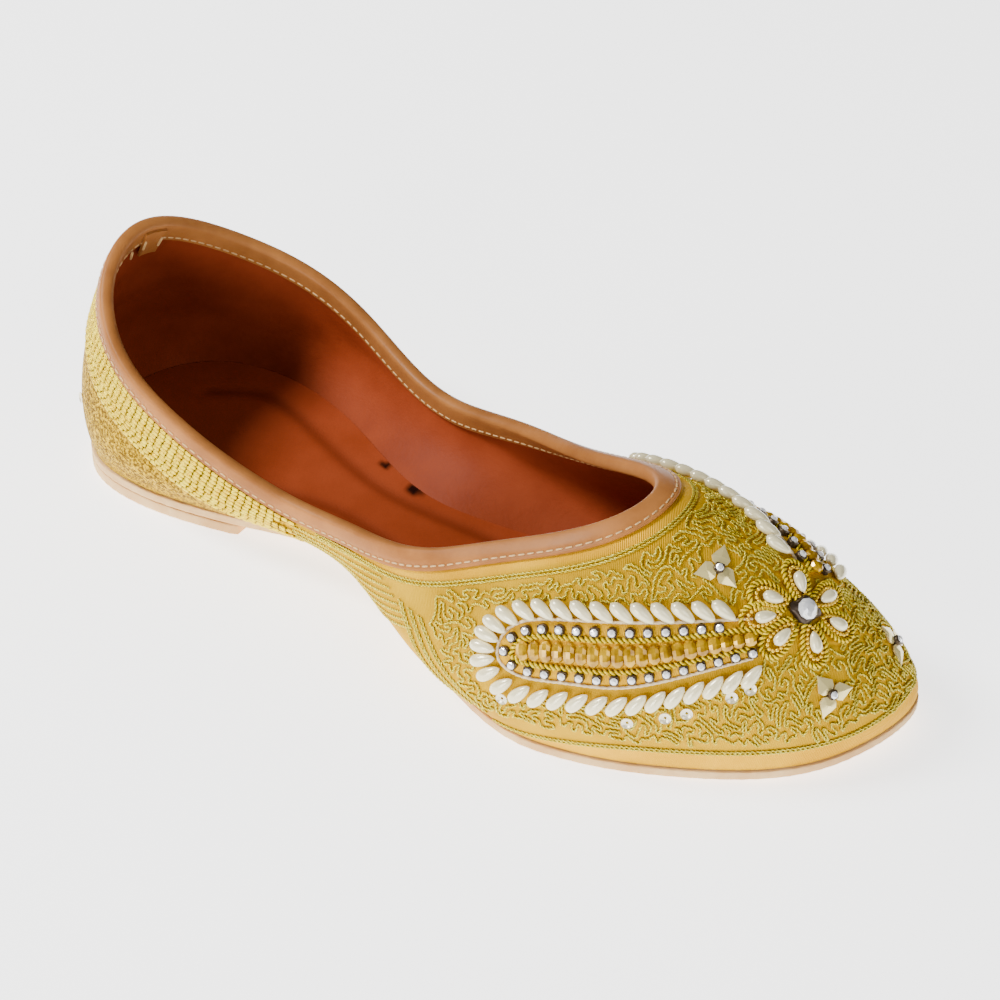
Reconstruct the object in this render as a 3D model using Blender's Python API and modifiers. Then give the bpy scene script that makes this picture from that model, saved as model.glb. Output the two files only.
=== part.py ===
"""A mojari: a flat slip-on shoe with an embroidered upper, for the right foot.

The shoe stands on its sole with the heel at -X and the toe at +X. The outer side of
the foot is at -Y, and +Z is up. The upper is drawn over a last: a row of half-ellipse
sections from heel to toe, each turned in at the feather line, where it meets the sole.
All sizes are in metres.
"""
import bpy
import bmesh
import numpy as np
from mathutils import Vector

# Sizes of the last
LENGTH = 0.245           # feather line, heel to toe
BALL_WIDTH = 0.082       # across the forefoot
HEEL_WIDTH = 0.0735      # across the heel
BACK_HEIGHT = 0.0595     # topline over the feather line at the heel
INSTEP_HEIGHT = 0.0565   # ridge over the feather line at the throat
TOE_SWING = 0.0105       # toe and waist off the middle line
WAIST_TUCK = 0.017       # how far the waist turns in under the foot
TURN_HEIGHT = 0.017      # height over which the wall turns in
TOE_ROUND = 0.0025       # the same turn at the tip of the toe
HEEL_LEAN = 0.012        # the back's top, forward of its fullest point
HEEL_BELLY = 0.0018      # the back's foot, forward of its fullest point
TOE_SPRING = 0.0036      # rise of the toe over the floor
THROAT = 0.728           # front of the opening, as a share of the length
BREAST = 0.25            # front of the heel lift, as a share of the length
TUCK_FADE = 0.0147       # half width below which the turn fades out at the tips
BACK_REACH = 0.22        # share of the length that leans with the back
TOE_REACH = 0.15         # share of the length that rounds down with the toe
BACK_EASE = 1.5          # how late the lean sets in towards the back
LEAN_EASE = 1.6          # how late it sets in up the back

# Thicknesses of the leathers and the gaps between them
WALL = 0.0018
SOLE = 0.0025
HEEL_LIFT = 0.0032
INSOLE = 0.0022
BINDING = 0.0007
GAP = 0.0003
SOLE_EDGE = 0.0006       # the sole's edge, proud of the feather line
INSOLE_CLEARANCE = 0.0007  # insole's edge to the wall
EDGE_ROUND = 0.0004
BINDING_FRONT = 0.0062   # outer leg of the binding at the throat
BINDING_BACK = 0.0044    # the same at the heel
BINDING_INSIDE = 0.0065  # inner leg
BINDING_WIDENS = (0.20, 0.85)  # where the outer leg widens, from heel to throat

# Sizes of the beadwork
BEAD_SEAT = 0.0005       # beads over the upper's surface
NEAR_LENGTH = 0.0616     # leaf of the outer side
FAR_LENGTH = 0.0548      # leaf of the inner side
LEAF_BACK = 0.0277       # back end of a leaf behind its seat
LEAF_WIDTH = 0.0164
LEAF_MARGIN = 0.0006     # pearls clear of the leaf's centre
PEARL_LENGTH = 0.0052
PEARL_HEIGHT = 0.0026
PEARL_STEP = 0.0035      # from pearl to pearl
PEARL_VALLEY = 0.82      # length between two pearls, of a pearl's length
CROWN_VALLEY = 0.65      # height between two pearls, of a pearl's height
CROWN_SIDES = (0.85, 0.60)     # height at the inner and outer end, of the crown
CENTRE_START = 0.14      # back end of the leaf's centre, along the leaf's root
CENTRE_HEIGHT = 0.0019
CENTRE_ACROSS = (-1.0, -0.55, 0.0, 0.55, 1.0)
CENTRE_DOME = (0.6, 0.9, 1.0, 0.9, 0.6)
FLOWER_RADIUS = 0.0128
FLOWER_HEIGHT = 0.0030
FLOWER_VALLEY = 0.76     # reach between two petals, of the radius
PETALS = 7
STONE_RADIUS = 0.0034
STONE_TABLE = 0.55       # flat top of the stone, of its radius
STONE_HEIGHT = 0.0030
MIRROR_RADIUS = 0.0062
MIRROR_MEAN = 0.66       # mean reach of its three leaves, of the radius
MIRROR_HUB = 0.25        # middle plate, of the reach
MIRROR_HEIGHT = 0.0010

# Numbers of faces
COLUMNS = 32             # on each side of the opening, from heel to throat
LIFT_COLUMNS = 10        # on each side of the heel lift
LEAF_ROWS = 16           # along the centre of a leaf
PETAL_STEPS = 6          # around each petal
STONE_STEPS = 16
MIRROR_STEPS = 24
BEHIND_BINDING = (0, 0.33, 0.67, 1)
BELOW_BINDING = (0.10, 0.22, 0.35, 0.48, 0.60, 0.71, 0.81, 0.89, 0.95, 1.0)

# One row for each section of the last, as shares of the sizes above
SECTION_COLUMNS = ("along", "of_heel_width", "of_ball_width", "swing", "tuck", "of_back", "of_instep")
SECTIONS = (
    (0.000, 0.000, 0.000, 0.00, 0.00, 1.34, 0.00),
    (0.040, 0.335, 0.000, 0.03, 0.10, 1.34, 0.00),
    (0.120, 0.490, 0.000, 0.12, 0.36, 1.43, 0.00),
    (0.250, 0.500, 0.000, 0.10, 0.68, 1.63, 0.00),
    (0.420, 0.000, 0.385, -0.40, 0.99, 0.00, 1.13),
    (0.580, 0.000, 0.500, -1.05, 0.67, 0.00, 0.85),
    (0.700, 0.000, 0.474, -1.13, 0.21, 0.00, 0.98),
    (0.820, 0.000, 0.395, -0.70, 0.11, 0.00, 0.88),
    (0.920, 0.000, 0.312, 0.00, 0.08, 0.00, 0.55),
    (0.975, 0.000, 0.196, 0.56, 0.08, 0.00, 0.22),
    (1.000, 0.000, 0.000, 1.00, 0.08, 0.00, 0.00),
)

# Height of the topline over the feather line, along the opening
TOPLINE_COLUMNS = ("along_opening", "of_back", "of_instep")
TOPLINE = (
    (0.00, 1.00, 0.00),
    (0.13, 0.77, 0.00),
    (0.29, 0.57, 0.00),
    (0.48, 0.00, 0.40),
    (0.68, 0.00, 0.54),
    (0.84, 0.00, 0.76),
)

# Heel seat and toe spring of the feather line
FEATHER_COLUMNS = ("along", "of_seat", "of_spring")
FEATHER = (
    (0.00, 1.00, 0.00),
    (0.28, 1.00, 0.00),
    (0.42, 0.85, 0.00),
    (0.56, 0.00, 0.00),
    (0.75, 0.00, 0.00),
    (0.88, 0.00, 0.40),
    (1.00, 0.00, 1.00),
)

# Outline of a beaded leaf from its round back end to the flower
LEAF_COLUMNS = ("along", "middle", "half_width")
LEAF = (
    (0.00, -0.10, 0.00),
    (0.12, -0.02, 0.43),
    (0.30, -0.05, 0.48),
    (0.50, -0.08, 0.49),
    (0.70, -0.02, 0.41),
    (1.00, 0.09, 0.27),
)

# Where the beadwork sits: along the last, around its section, and its heading in degrees
NEAR_LEAF = (0.761, 0.191, 14.0)
FAR_LEAF = (0.774, 0.770, -19.0)
FLOWER = (0.895, 0.441, 0.0)
MIRRORS = {
    "mirror_centre": (0.821, 0.406, 100.0),
    "mirror_toe_near": (0.944, 0.279, 40.0),
    "mirror_toe_far": (0.957, 0.679, -40.0),
}


def table(names, rows):
    """The rows of a table as one array for each named column."""
    return dict(zip(names, np.array(rows, float).T))


def natural_curve(at, values):
    """A smooth curve through the rows, straight at both of its ends."""
    at, values = np.asarray(at, float), np.asarray(values, float)
    step, last = np.diff(at), len(at) - 1
    slope = np.diff(values) / step
    left, right = np.eye(last + 1), np.zeros(last + 1)
    for i in range(1, last):
        left[i, i - 1:i + 2] = step[i - 1], 2 * (step[i - 1] + step[i]), step[i]
        right[i] = 6 * (slope[i] - slope[i - 1])
    bend = np.linalg.solve(left, right)

    def read(x):
        i = np.clip(np.searchsorted(at, x) - 1, 0, last - 1)
        h, after, before = step[i], x - at[i], at[i + 1] - x
        curved = (bend[i] * before ** 3 + bend[i + 1] * after ** 3) / (6 * h)
        return (curved + (values[i] / h - bend[i] * h / 6) * before
                + (values[i + 1] / h - bend[i + 1] * h / 6) * after)
    return read


def steady_curve(at, values):
    """A curve through the rows that never passes a row's value, so level rows stay level."""
    at, values = np.asarray(at, float), np.asarray(values, float)
    step = np.diff(at)
    slope = np.diff(values) / step
    grade = np.zeros(len(at))
    for i in range(1, len(at) - 1):
        if slope[i - 1] * slope[i] > 0:
            grade[i] = 2 * slope[i - 1] * slope[i] / (slope[i - 1] + slope[i])
    grade[0], grade[-1] = slope[0], slope[-1]

    def read(x):
        i = np.clip(np.searchsorted(at, x) - 1, 0, len(at) - 2)
        h = step[i]
        u = np.clip((x - at[i]) / h, 0, 1)
        return (values[i] * (1 + 2 * u) * (1 - u) ** 2 + values[i + 1] * u * u * (3 - 2 * u)
                + h * u * (1 - u) * (grade[i] * (1 - u) - grade[i + 1] * u))
    return read


def smooth_step(x, low=0.0, high=1.0):
    u = np.clip((x - low) / (high - low), 0, 1)
    return u * u * (3 - 2 * u)


def angle_at(share):
    """Angle of a section along the last: even steps of it crowd the heel and the toe."""
    return np.arccos(1 - 2 * np.clip(share, 0, 1))


def share_at(angle):
    return (1 - np.cos(angle)) / 2


# The last
section = table(SECTION_COLUMNS, SECTIONS)
half_width = natural_curve(angle_at(section["along"]),
                           section["of_heel_width"] * HEEL_WIDTH + section["of_ball_width"] * BALL_WIDTH)
ridge = natural_curve(angle_at(section["along"]),
                      section["of_back"] * BACK_HEIGHT + section["of_instep"] * INSTEP_HEIGHT)
middle = natural_curve(section["along"], section["swing"] * TOE_SWING)
tuck = steady_curve(section["along"], section["tuck"] * WAIST_TUCK)
seat = table(FEATHER_COLUMNS, FEATHER)
FLOOR_TO_FEATHER = SOLE + GAP
feather_height = steady_curve(
    seat["along"],
    FLOOR_TO_FEATHER + seat["of_seat"] * (HEEL_LIFT + GAP) + seat["of_spring"] * TOE_SPRING)
edge = table(TOPLINE_COLUMNS, TOPLINE)
topline_height = natural_curve(
    np.append(edge["along_opening"], 1.0) * THROAT,
    np.append(edge["of_back"] * BACK_HEIGHT + edge["of_instep"] * INSTEP_HEIGHT,
              ridge(angle_at(THROAT))))


def surface(along, around):
    """Outer surface of the upper at an angle along the last and one around its section.

    Around is 0 at the feather line of the outer side, a quarter turn on the ridge and a
    half turn at the feather line of the inner side.
    """
    share = share_at(along)
    width, height = half_width(along), ridge(np.abs(along))
    up = height * np.sin(around)
    turned = np.clip(1 - up / TURN_HEIGHT, 0, 1) ** 2
    inward = turned * tuck(share) * np.minimum(1, width / TUCK_FADE)
    back = np.clip(1 - share / BACK_REACH, 0, 1) ** BACK_EASE
    over_belly = up - TURN_HEIGHT
    lean = HEEL_LEAN * np.clip(over_belly / (BACK_HEIGHT - TURN_HEIGHT), 0, 2) ** LEAN_EASE
    belly = HEEL_BELLY * turned
    toe = np.clip(1 - (1 - share) / TOE_REACH, 0, 1) ** 2
    tip = TOE_ROUND * toe * turned
    x = (share - 0.5) * LENGTH + back * (lean + belly) - tip
    y = middle(share) - np.cos(around) * (width - inward)
    return np.stack([x, y, feather_height(share) + up], -1)


def slopes(along, around):
    d = 1e-4
    lengthways = (surface(along + d, around) - surface(along - d, around)) / (2 * d)
    crossways = (surface(along, around + d) - surface(along, around - d)) / (2 * d)
    return lengthways, crossways


def unit(vectors):
    return vectors / np.linalg.norm(vectors, axis=-1, keepdims=True)


def outward(along, around):
    """Normal of the outer surface, read a little short of the pole at the toe."""
    lengthways, crossways = slopes(np.minimum(along, np.pi - 0.05), around)
    return unit(np.cross(lengthways, crossways))


def walk(along, around, heading, distance, steps=8):
    """Follow the surface for a distance, starting along a heading, as a stretched thread lies."""
    for _ in range(steps):
        lengthways, crossways = slopes(along, around)
        stride = heading * (distance / steps)[..., None]
        a, b, c = ((lengthways * lengthways).sum(-1), (lengthways * crossways).sum(-1),
                   (crossways * crossways).sum(-1))
        p, q = (lengthways * stride).sum(-1), (crossways * stride).sum(-1)
        det = a * c - b * b
        along = along + (c * p - b * q) / det
        around = around + (a * q - b * p) / det
        normal = outward(along, around)
        heading = unit(heading - normal * (normal * heading).sum(-1, keepdims=True))
    return along, around


# The scene
for thing in list(bpy.data.objects):
    bpy.data.objects.remove(thing, do_unlink=True)
parts = bpy.data.collections.new("mojari")
bpy.context.scene.collection.children.link(parts)
stand = bpy.data.objects.new("mojari_frame", None)
parts.objects.link(stand)


def new_material(name, colour, roughness, metallic=0.0):
    material = bpy.data.materials.new(name)
    material.use_nodes = True
    shader = material.node_tree.nodes["Principled BSDF"]
    shader.inputs["Base Color"].default_value = (*colour, 1.0)
    shader.inputs["Roughness"].default_value = roughness
    shader.inputs["Metallic"].default_value = metallic
    return material


def new_piece(name, points, faces, material):
    """A named piece with its faces turned outwards."""
    mesh = bpy.data.meshes.new(name)
    mesh.from_pydata([tuple(point) for point in points], [], faces)
    mesh.materials.append(material)
    piece = bpy.data.objects.new(name, mesh)
    parts.objects.link(piece)
    piece.parent = stand
    work = bmesh.new()
    work.from_mesh(mesh)
    bmesh.ops.recalc_face_normals(work, faces=work.faces)
    work.to_mesh(mesh)
    work.free()
    mesh.shade_smooth()
    mesh.set_sharp_from_angle(angle=np.radians(50))
    return piece


def ring_faces(count, size):
    """Quads between closed profiles of one size, set around a closed path."""
    return [(i * size + j, (i + 1) % count * size + j,
             (i + 1) % count * size + (j + 1) % size, i * size + (j + 1) % size)
            for i in range(count) for j in range(size)]


def slab(name, top, bottom, material):
    """A plate between two outlines that start at the heel, level from side to side."""
    count = len(top)
    across = [(0, 1, count - 1)]
    i = 1
    while i + 1 < count - i - 1:
        across.append((i, i + 1, count - i - 1, count - i))
        i += 1
    if i + 1 == count - i - 1:
        across.append((i, i + 1, i + 2))
    faces = across + [tuple(count + j for j in reversed(face)) for face in across]
    faces += [(j, (j + 1) % count, count + (j + 1) % count, count + j) for j in range(count)]
    piece = new_piece(name, np.concatenate([top, bottom]), faces, material)
    rounded = piece.modifiers.new("edge", "BEVEL")
    rounded.width = EDGE_ROUND
    rounded.segments = 1
    rounded.limit_method = "ANGLE"
    rounded.angle_limit = np.radians(50)
    return piece


def pad(name, top, bottom, material):
    """A closed pad between two grids of points with the same rows and columns."""
    rows, columns = top.shape[:2]
    count = rows * columns
    grid = [(i * columns + j, (i + 1) * columns + j, (i + 1) * columns + j + 1, i * columns + j + 1)
            for i in range(rows - 1) for j in range(columns - 1)]
    rim = [i * columns for i in range(rows)]
    rim += [count - columns + j for j in range(1, columns)]
    rim += [i * columns + columns - 1 for i in range(rows - 2, -1, -1)]
    rim += list(range(columns - 2, 0, -1))
    faces = grid + [tuple(count + j for j in reversed(face)) for face in grid]
    faces += [(a, b, count + b, count + a) for a, b in zip(rim, rim[1:] + rim[:1])]
    return new_piece(name, np.concatenate([top.reshape(-1, 3), bottom.reshape(-1, 3)]), faces, material)


# Materials
FABRIC = new_material("gold_fabric", (0.60, 0.42, 0.14), 0.55, 0.3)
TAN = new_material("tan_leather", (0.46, 0.25, 0.13), 0.5)
BROWN = new_material("brown_leather", (0.32, 0.09, 0.03), 0.5)
SOLE_LEATHER = new_material("sole_leather", (0.66, 0.52, 0.42), 0.7)
PEARL = new_material("pearl", (0.92, 0.90, 0.84), 0.25)
AMBER = new_material("amber_bead", (0.62, 0.33, 0.06), 0.2)
GOLD_CORD = new_material("gold_cord", (0.66, 0.50, 0.20), 0.35, 0.8)
GLASS = new_material("cut_stone", (0.80, 0.82, 0.84), 0.08, 0.2)
MIRROR = new_material("mirror", (0.75, 0.70, 0.55), 0.1, 0.9)

# Upper: a hollow shell, open at the foot's opening and underneath
place = np.arange(COLUMNS + 1) / COLUMNS
near_share = THROAT * share_at(np.pi * place)
near_along = angle_at(near_share)
near_around = np.arcsin(np.clip(topline_height(near_share) / ridge(near_along), 0, 1))
near_around[-1] = np.pi / 2


def both_sides(near, far):
    """A closed ring from the heel up the outer side to the throat and down the inner side."""
    return np.concatenate([near, far[-2:0:-1]])


top_along = both_sides(near_along, near_along)
top_around = both_sides(near_around, np.pi - near_around)
ring_place = both_sides(place, place)
inner_side = np.arange(len(ring_place)) > COLUMNS
top_points = surface(top_along, top_around)
edge_run = np.roll(top_points, -1, axis=0) - np.roll(top_points, 1, axis=0)
downward = unit(np.cross(edge_run, outward(top_along, top_around)))
leg = BINDING_BACK + (BINDING_FRONT - BINDING_BACK) * smooth_step(ring_place, *BINDING_WIDENS)
foot_along = np.pi * ring_place


def under_edge(distance):
    """Angles of the points that lie a distance under the topline."""
    return walk(top_along, top_around, downward, distance * np.ones(len(top_along)))


def toward_feather(share):
    """Angles part of the way from the binding's lower edge to the feather line."""
    along, around = under_edge(leg)
    around = np.where(inner_side, np.pi - around, around)
    straight_along = along + (foot_along - along) * share
    straight_around = around * (1 - share)
    reach = np.pi - along
    sideways = reach * np.cos(around) * (1 - share) + (np.pi - foot_along) * share
    forward = reach * np.sin(around) * (1 - share)
    fan = ring_place ** 2
    along = (1 - fan) * straight_along + fan * (np.pi - np.hypot(sideways, forward))
    spread = np.arctan2(forward, sideways)
    spread[COLUMNS] = np.pi / 2
    around = (1 - fan) * straight_around + fan * spread
    return along, np.where(inner_side, np.pi - around, around)


edge_drop = BINDING + GAP
rows = [surface(*under_edge(edge_drop + (leg - edge_drop) * share)) for share in BEHIND_BINDING]
rows += [surface(*toward_feather(share)) for share in BELOW_BINDING]
count = len(ring_place)
wall_faces = [(i * count + j, i * count + (j + 1) % count, (i + 1) * count + (j + 1) % count,
               (i + 1) * count + j) for i in range(len(rows) - 1) for j in range(count)]
upper = new_piece("upper", np.concatenate(rows), wall_faces, FABRIC)
wall = upper.modifiers.new("wall", "SOLIDIFY")
wall.thickness = WALL
wall.offset = -1
wall.use_even_offset = True
wall.use_quality_normals = True

# Topline binding: a strip folded over the edge, with a wide leg outside and a narrow one inside
outside, inside = GAP, -WALL - GAP
profile = (
    (leg, outside + BINDING),
    (leg / 2, outside + BINDING),
    (BINDING, outside + BINDING),
    (0, outside),
    (0, inside),
    (BINDING, inside - BINDING),
    (BINDING_INSIDE / 2, inside - BINDING),
    (BINDING_INSIDE, inside - BINDING),
    (BINDING_INSIDE, inside),
    (BINDING_INSIDE / 2, inside),
    (BINDING, inside),
    (BINDING, outside),
    (leg / 2, outside),
    (leg, outside),
)
strips = []
for drop, lift in profile:
    angles = under_edge(drop)
    strips.append(surface(*angles) + outward(*angles) * lift)
binding_points = np.stack(strips, axis=1)
new_piece("topline_binding", binding_points.reshape(-1, 3), ring_faces(count, len(profile)), TAN)


# Sole, heel lift and insole
def feather_ring(along, height, clearance, pointed):
    """Outline at a height over the feather line, clear of the outer surface sideways."""
    around = np.arcsin(np.clip(height / np.maximum(ridge(along), height + 1e-6), 0, 1))
    sides = []
    for angle in (around, np.pi - around):
        points, normal = surface(along, angle), outward(along, angle)
        level = normal * (1, 1, 0)
        steep = (level * level).sum(-1, keepdims=True)
        sides.append(points + clearance * level / steep)
    near, far = sides
    near[0, 1] = far[0, 1] = (near[0, 1] + far[0, 1]) / 2
    return np.concatenate([near, far[-2:0:-1] if pointed else far[:0:-1]])


def level_ring(along, heights, pointed):
    """The sole's outline with its heights, which follow the feather line or stay level."""
    points = feather_ring(along, 0, 0, pointed)
    run = np.roll(points, -1, axis=0) - np.roll(points, 1, axis=0)
    aside = unit(np.stack([run[:, 1], -run[:, 0], 0 * run[:, 0]], -1))
    points = points + SOLE_EDGE * aside
    points[:, 2] = np.concatenate([heights, heights[-2:0:-1] if pointed else heights[:0:-1]])
    return points


foot_angles = np.pi * place
sole_top = feather_height(share_at(foot_angles)) - GAP
slab("outsole", level_ring(foot_angles, sole_top, True),
     level_ring(foot_angles, sole_top - SOLE, True), SOLE_LEATHER)

lift_angles = np.linspace(0, angle_at(BREAST), LIFT_COLUMNS)
level = np.ones(len(lift_angles))
slab("heel_lift", level_ring(lift_angles, HEEL_LIFT * level, False),
     level_ring(lift_angles, 0 * level, False), SOLE_LEATHER)

insole_angles = foot_angles[:-1]
slab("insole", feather_ring(insole_angles, INSOLE, -WALL - INSOLE_CLEARANCE, False),
     feather_ring(insole_angles, 0, -WALL - INSOLE_CLEARANCE, False), BROWN)


# Beadwork
def seat_at(spot):
    """A place on the upper, and a map from lengths measured there onto the surface."""
    share, turn_share, heading = spot
    along, around = angle_at(share), np.pi * turn_share
    lengthways, _ = slopes(along, around)
    normal = outward(along, around)
    ahead = unit(lengthways)
    aside = np.cross(normal, ahead)
    turn = np.radians(heading)
    ahead, aside = ahead * np.cos(turn) + aside * np.sin(turn), aside * np.cos(turn) - ahead * np.sin(turn)

    def onto(u, v, lift):
        u, v, lift = np.broadcast_arrays(np.asarray(u, float), v, lift)
        far = np.maximum(np.hypot(u, v), 1e-9)
        direction = (ahead * (u / far)[..., None] + aside * (v / far)[..., None])
        direction = np.where((far > 1e-8)[..., None], direction, ahead)
        angles = walk(np.full(u.shape, along), np.full(u.shape, around), direction, far)
        return surface(*angles) + outward(*angles) * (BEAD_SEAT + lift)[..., None]
    return onto


leaf = table(LEAF_COLUMNS, LEAF)
leaf_middle = natural_curve(np.sqrt(leaf["along"]), leaf["middle"] * LEAF_WIDTH)
leaf_half = natural_curve(np.sqrt(leaf["along"]), leaf["half_width"] * LEAF_WIDTH)


def leaf_edge(length, steps):
    """The leaf's outline in even steps, from the flower around the back end and forward again."""
    root = np.linspace(1, 0, 120)
    ahead = root ** 2 * length - LEAF_BACK
    upper_side = np.stack([ahead, leaf_middle(root) + leaf_half(root)], -1)
    lower_side = np.stack([ahead, leaf_middle(root) - leaf_half(root)], -1)
    outline = np.concatenate([upper_side, lower_side[-2::-1]])
    run = np.append(0, np.cumsum(np.linalg.norm(np.diff(outline, axis=0), axis=1)))
    even = np.linspace(0, run[-1], steps)
    points = np.stack([np.interp(even, run, outline[:, i]) for i in (0, 1)], -1)
    course = unit(np.gradient(points, axis=0))
    return points, np.stack([course[:, 1], -course[:, 0]], -1)


for side, spot, mirrored, length in (("near", NEAR_LEAF, 1, NEAR_LENGTH), ("far", FAR_LEAF, -1, FAR_LENGTH)):
    onto = seat_at(spot)
    pearls = round((2 * length + LEAF_WIDTH / 2) / PEARL_STEP)
    points, aside = leaf_edge(length, 2 * pearls + 1)
    crest = np.arange(len(points)) % 2
    inner_edge = points + aside * LEAF_MARGIN
    reach = LEAF_MARGIN + PEARL_LENGTH * (PEARL_VALLEY + (1 - PEARL_VALLEY) * crest)
    outer_edge = points + aside * reach[:, None]
    crown = PEARL_HEIGHT * (CROWN_VALLEY + (1 - CROWN_VALLEY) * crest)
    ring = np.stack([inner_edge, outer_edge], 1)
    ring_top = onto(ring[..., 0], mirrored * ring[..., 1], crown[:, None] * np.array(CROWN_SIDES))
    ring_bottom = onto(ring[..., 0], mirrored * ring[..., 1], 0)
    pad("leaf_pearls_" + side, ring_top, ring_bottom, PEARL)

    root = np.linspace(CENTRE_START, 1, LEAF_ROWS)
    across = np.array(CENTRE_ACROSS)
    u = (root ** 2 * length - LEAF_BACK)[:, None] + 0 * across
    v = leaf_middle(root)[:, None] + (leaf_half(root)[:, None] - LEAF_MARGIN) * across
    dome = CENTRE_HEIGHT * np.array(CENTRE_DOME) + 0 * u
    pad("leaf_centre_" + side, onto(u, mirrored * v, dome), onto(u, mirrored * v, 0), AMBER)

onto = seat_at(FLOWER)
petal_count = PETALS * PETAL_STEPS
turn = np.arange(petal_count) / petal_count * 2 * np.pi
lobe = np.abs(np.cos(turn * PETALS / 2))
rim = FLOWER_RADIUS * (FLOWER_VALLEY + (1 - FLOWER_VALLEY) * lobe)
hole = (STONE_RADIUS + GAP) * np.ones(len(turn))
rim_height = 0.35 * FLOWER_HEIGHT
petal_height = FLOWER_HEIGHT * (0.7 + 0.3 * lobe)
hole_height = 0.5 * FLOWER_HEIGHT
profiles = []
for reach, lift in ((hole, 0), (rim, 0), (rim, rim_height), ((rim + hole) / 2, petal_height),
                    (hole, hole_height)):
    profiles.append(onto(reach * np.cos(turn), reach * np.sin(turn), lift))
flower_points = np.stack(profiles, axis=1)
new_piece("flower", flower_points.reshape(-1, 3), ring_faces(len(turn), len(profiles)), GOLD_CORD)

centre = onto(0.0, 0.0, 0.0)
axis = unit(onto(0.0, 0.0, STONE_HEIGHT) - centre)
work = bmesh.new()
bmesh.ops.create_cone(work, cap_ends=True, segments=STONE_STEPS, radius1=STONE_RADIUS,
                      radius2=STONE_TABLE * STONE_RADIUS, depth=STONE_HEIGHT)
gem = bpy.data.meshes.new("flower_stone")
work.to_mesh(gem)
work.free()
gem.materials.append(GLASS)
stone = bpy.data.objects.new("flower_stone", gem)
stone.location = Vector(centre + axis * (STONE_HEIGHT / 2 + GAP))
stone.rotation_euler = Vector(axis).to_track_quat("Z", "Y").to_euler()
stone.parent = stand
parts.objects.link(stone)

for name, spot in MIRRORS.items():
    onto = seat_at(spot)
    turn = np.arange(MIRROR_STEPS) / MIRROR_STEPS * 2 * np.pi
    reach = MIRROR_RADIUS * (MIRROR_MEAN + (1 - MIRROR_MEAN) * np.cos(3 * turn))
    spans = np.array([MIRROR_HUB, 1.0])[:, None] * reach
    top = onto(spans * np.cos(turn), spans * np.sin(turn), MIRROR_HEIGHT)
    bottom = onto(spans * np.cos(turn), spans * np.sin(turn), 0)
    size = len(turn)
    faces = [tuple(range(size)), tuple(range(2 * size, 3 * size))]
    for level_start, other in ((0, size), (2 * size, 3 * size), (size, 3 * size)):
        faces += [(level_start + i, level_start + (i + 1) % size, other + (i + 1) % size, other + i)
                  for i in range(size)]
    points = np.concatenate([top[0], top[1], bottom[0], bottom[1]])
    new_piece(name, points, faces, MIRROR)

# The frame: the middle of the whole shoe's box stands over the origin
bpy.context.view_layer.update()
depsgraph = bpy.context.evaluated_depsgraph_get()
corners = []
for piece in parts.objects:
    if piece.type == "MESH":
        shown = piece.evaluated_get(depsgraph)
        corners += [shown.matrix_world @ Vector(corner) for corner in shown.bound_box]
corners = np.array(corners)
middle_of_box = (corners.min(axis=0) + corners.max(axis=0)) / 2
stand.location = (-middle_of_box[0], -middle_of_box[1], 0)
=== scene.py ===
import bmesh
import bpy
import numpy as np
from mathutils import Matrix, Vector


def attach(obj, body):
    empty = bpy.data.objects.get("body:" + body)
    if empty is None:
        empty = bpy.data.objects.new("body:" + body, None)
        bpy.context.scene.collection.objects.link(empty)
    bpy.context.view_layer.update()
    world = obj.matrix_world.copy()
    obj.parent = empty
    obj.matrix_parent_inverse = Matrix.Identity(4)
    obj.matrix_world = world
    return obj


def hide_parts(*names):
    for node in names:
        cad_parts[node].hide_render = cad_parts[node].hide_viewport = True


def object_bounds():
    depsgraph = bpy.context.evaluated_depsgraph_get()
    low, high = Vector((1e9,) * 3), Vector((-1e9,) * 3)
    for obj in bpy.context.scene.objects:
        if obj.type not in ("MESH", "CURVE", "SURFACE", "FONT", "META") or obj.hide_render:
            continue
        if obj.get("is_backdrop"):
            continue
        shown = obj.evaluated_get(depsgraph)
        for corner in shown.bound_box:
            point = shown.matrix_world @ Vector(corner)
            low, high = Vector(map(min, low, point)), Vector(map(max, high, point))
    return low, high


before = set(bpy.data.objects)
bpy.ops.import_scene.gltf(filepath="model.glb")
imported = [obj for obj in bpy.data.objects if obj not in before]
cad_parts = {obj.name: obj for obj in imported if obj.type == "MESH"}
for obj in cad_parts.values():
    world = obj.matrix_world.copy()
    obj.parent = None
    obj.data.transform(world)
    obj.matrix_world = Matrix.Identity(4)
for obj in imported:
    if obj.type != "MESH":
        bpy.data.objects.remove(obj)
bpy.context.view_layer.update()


# Upper: a close ribbed fabric of metal-wrapped gold thread, drawn over a last and lined with
# rust-brown leather. It stays plain in a band under the binding and in one over the sole, and
# turns in under the foot at the waist. The lining has sunk into a few soft folds at the heel.
LENGTH = 0.245
BALL_WIDTH = 0.082
HEEL_WIDTH = 0.0735
BACK_HEIGHT = 0.0595
INSTEP_HEIGHT = 0.0565
TOE_SWING = 0.0105
WAIST_TUCK = 0.017
TURN_HEIGHT = 0.017
TOE_ROUND = 0.0025
HEEL_LEAN = 0.012
HEEL_BELLY = 0.0018
TOE_SPRING = 0.0036
THROAT = 0.728
TUCK_FADE = 0.0147
BACK_REACH = 0.22
TOE_REACH = 0.15
MIDDLE = (0.00094, 0.00684)     # the last's own middle, in the shoe's frame
WALL = 0.0018
GAP = 0.0003
SOLE = 0.0025
HEEL_LIFT = 0.0032
BINDING = 0.0007
BINDING_FRONT = 0.0062
BINDING_BACK = 0.0044
COLUMNS = 192                   # on each side of the opening
FOLD_DEPTH = 0.0003
FOLD_PITCH = 0.0105
RIB_PITCH = 0.00055
PLAIN_BAND = 0.0027             # under the binding, where the vamp is worked

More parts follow.
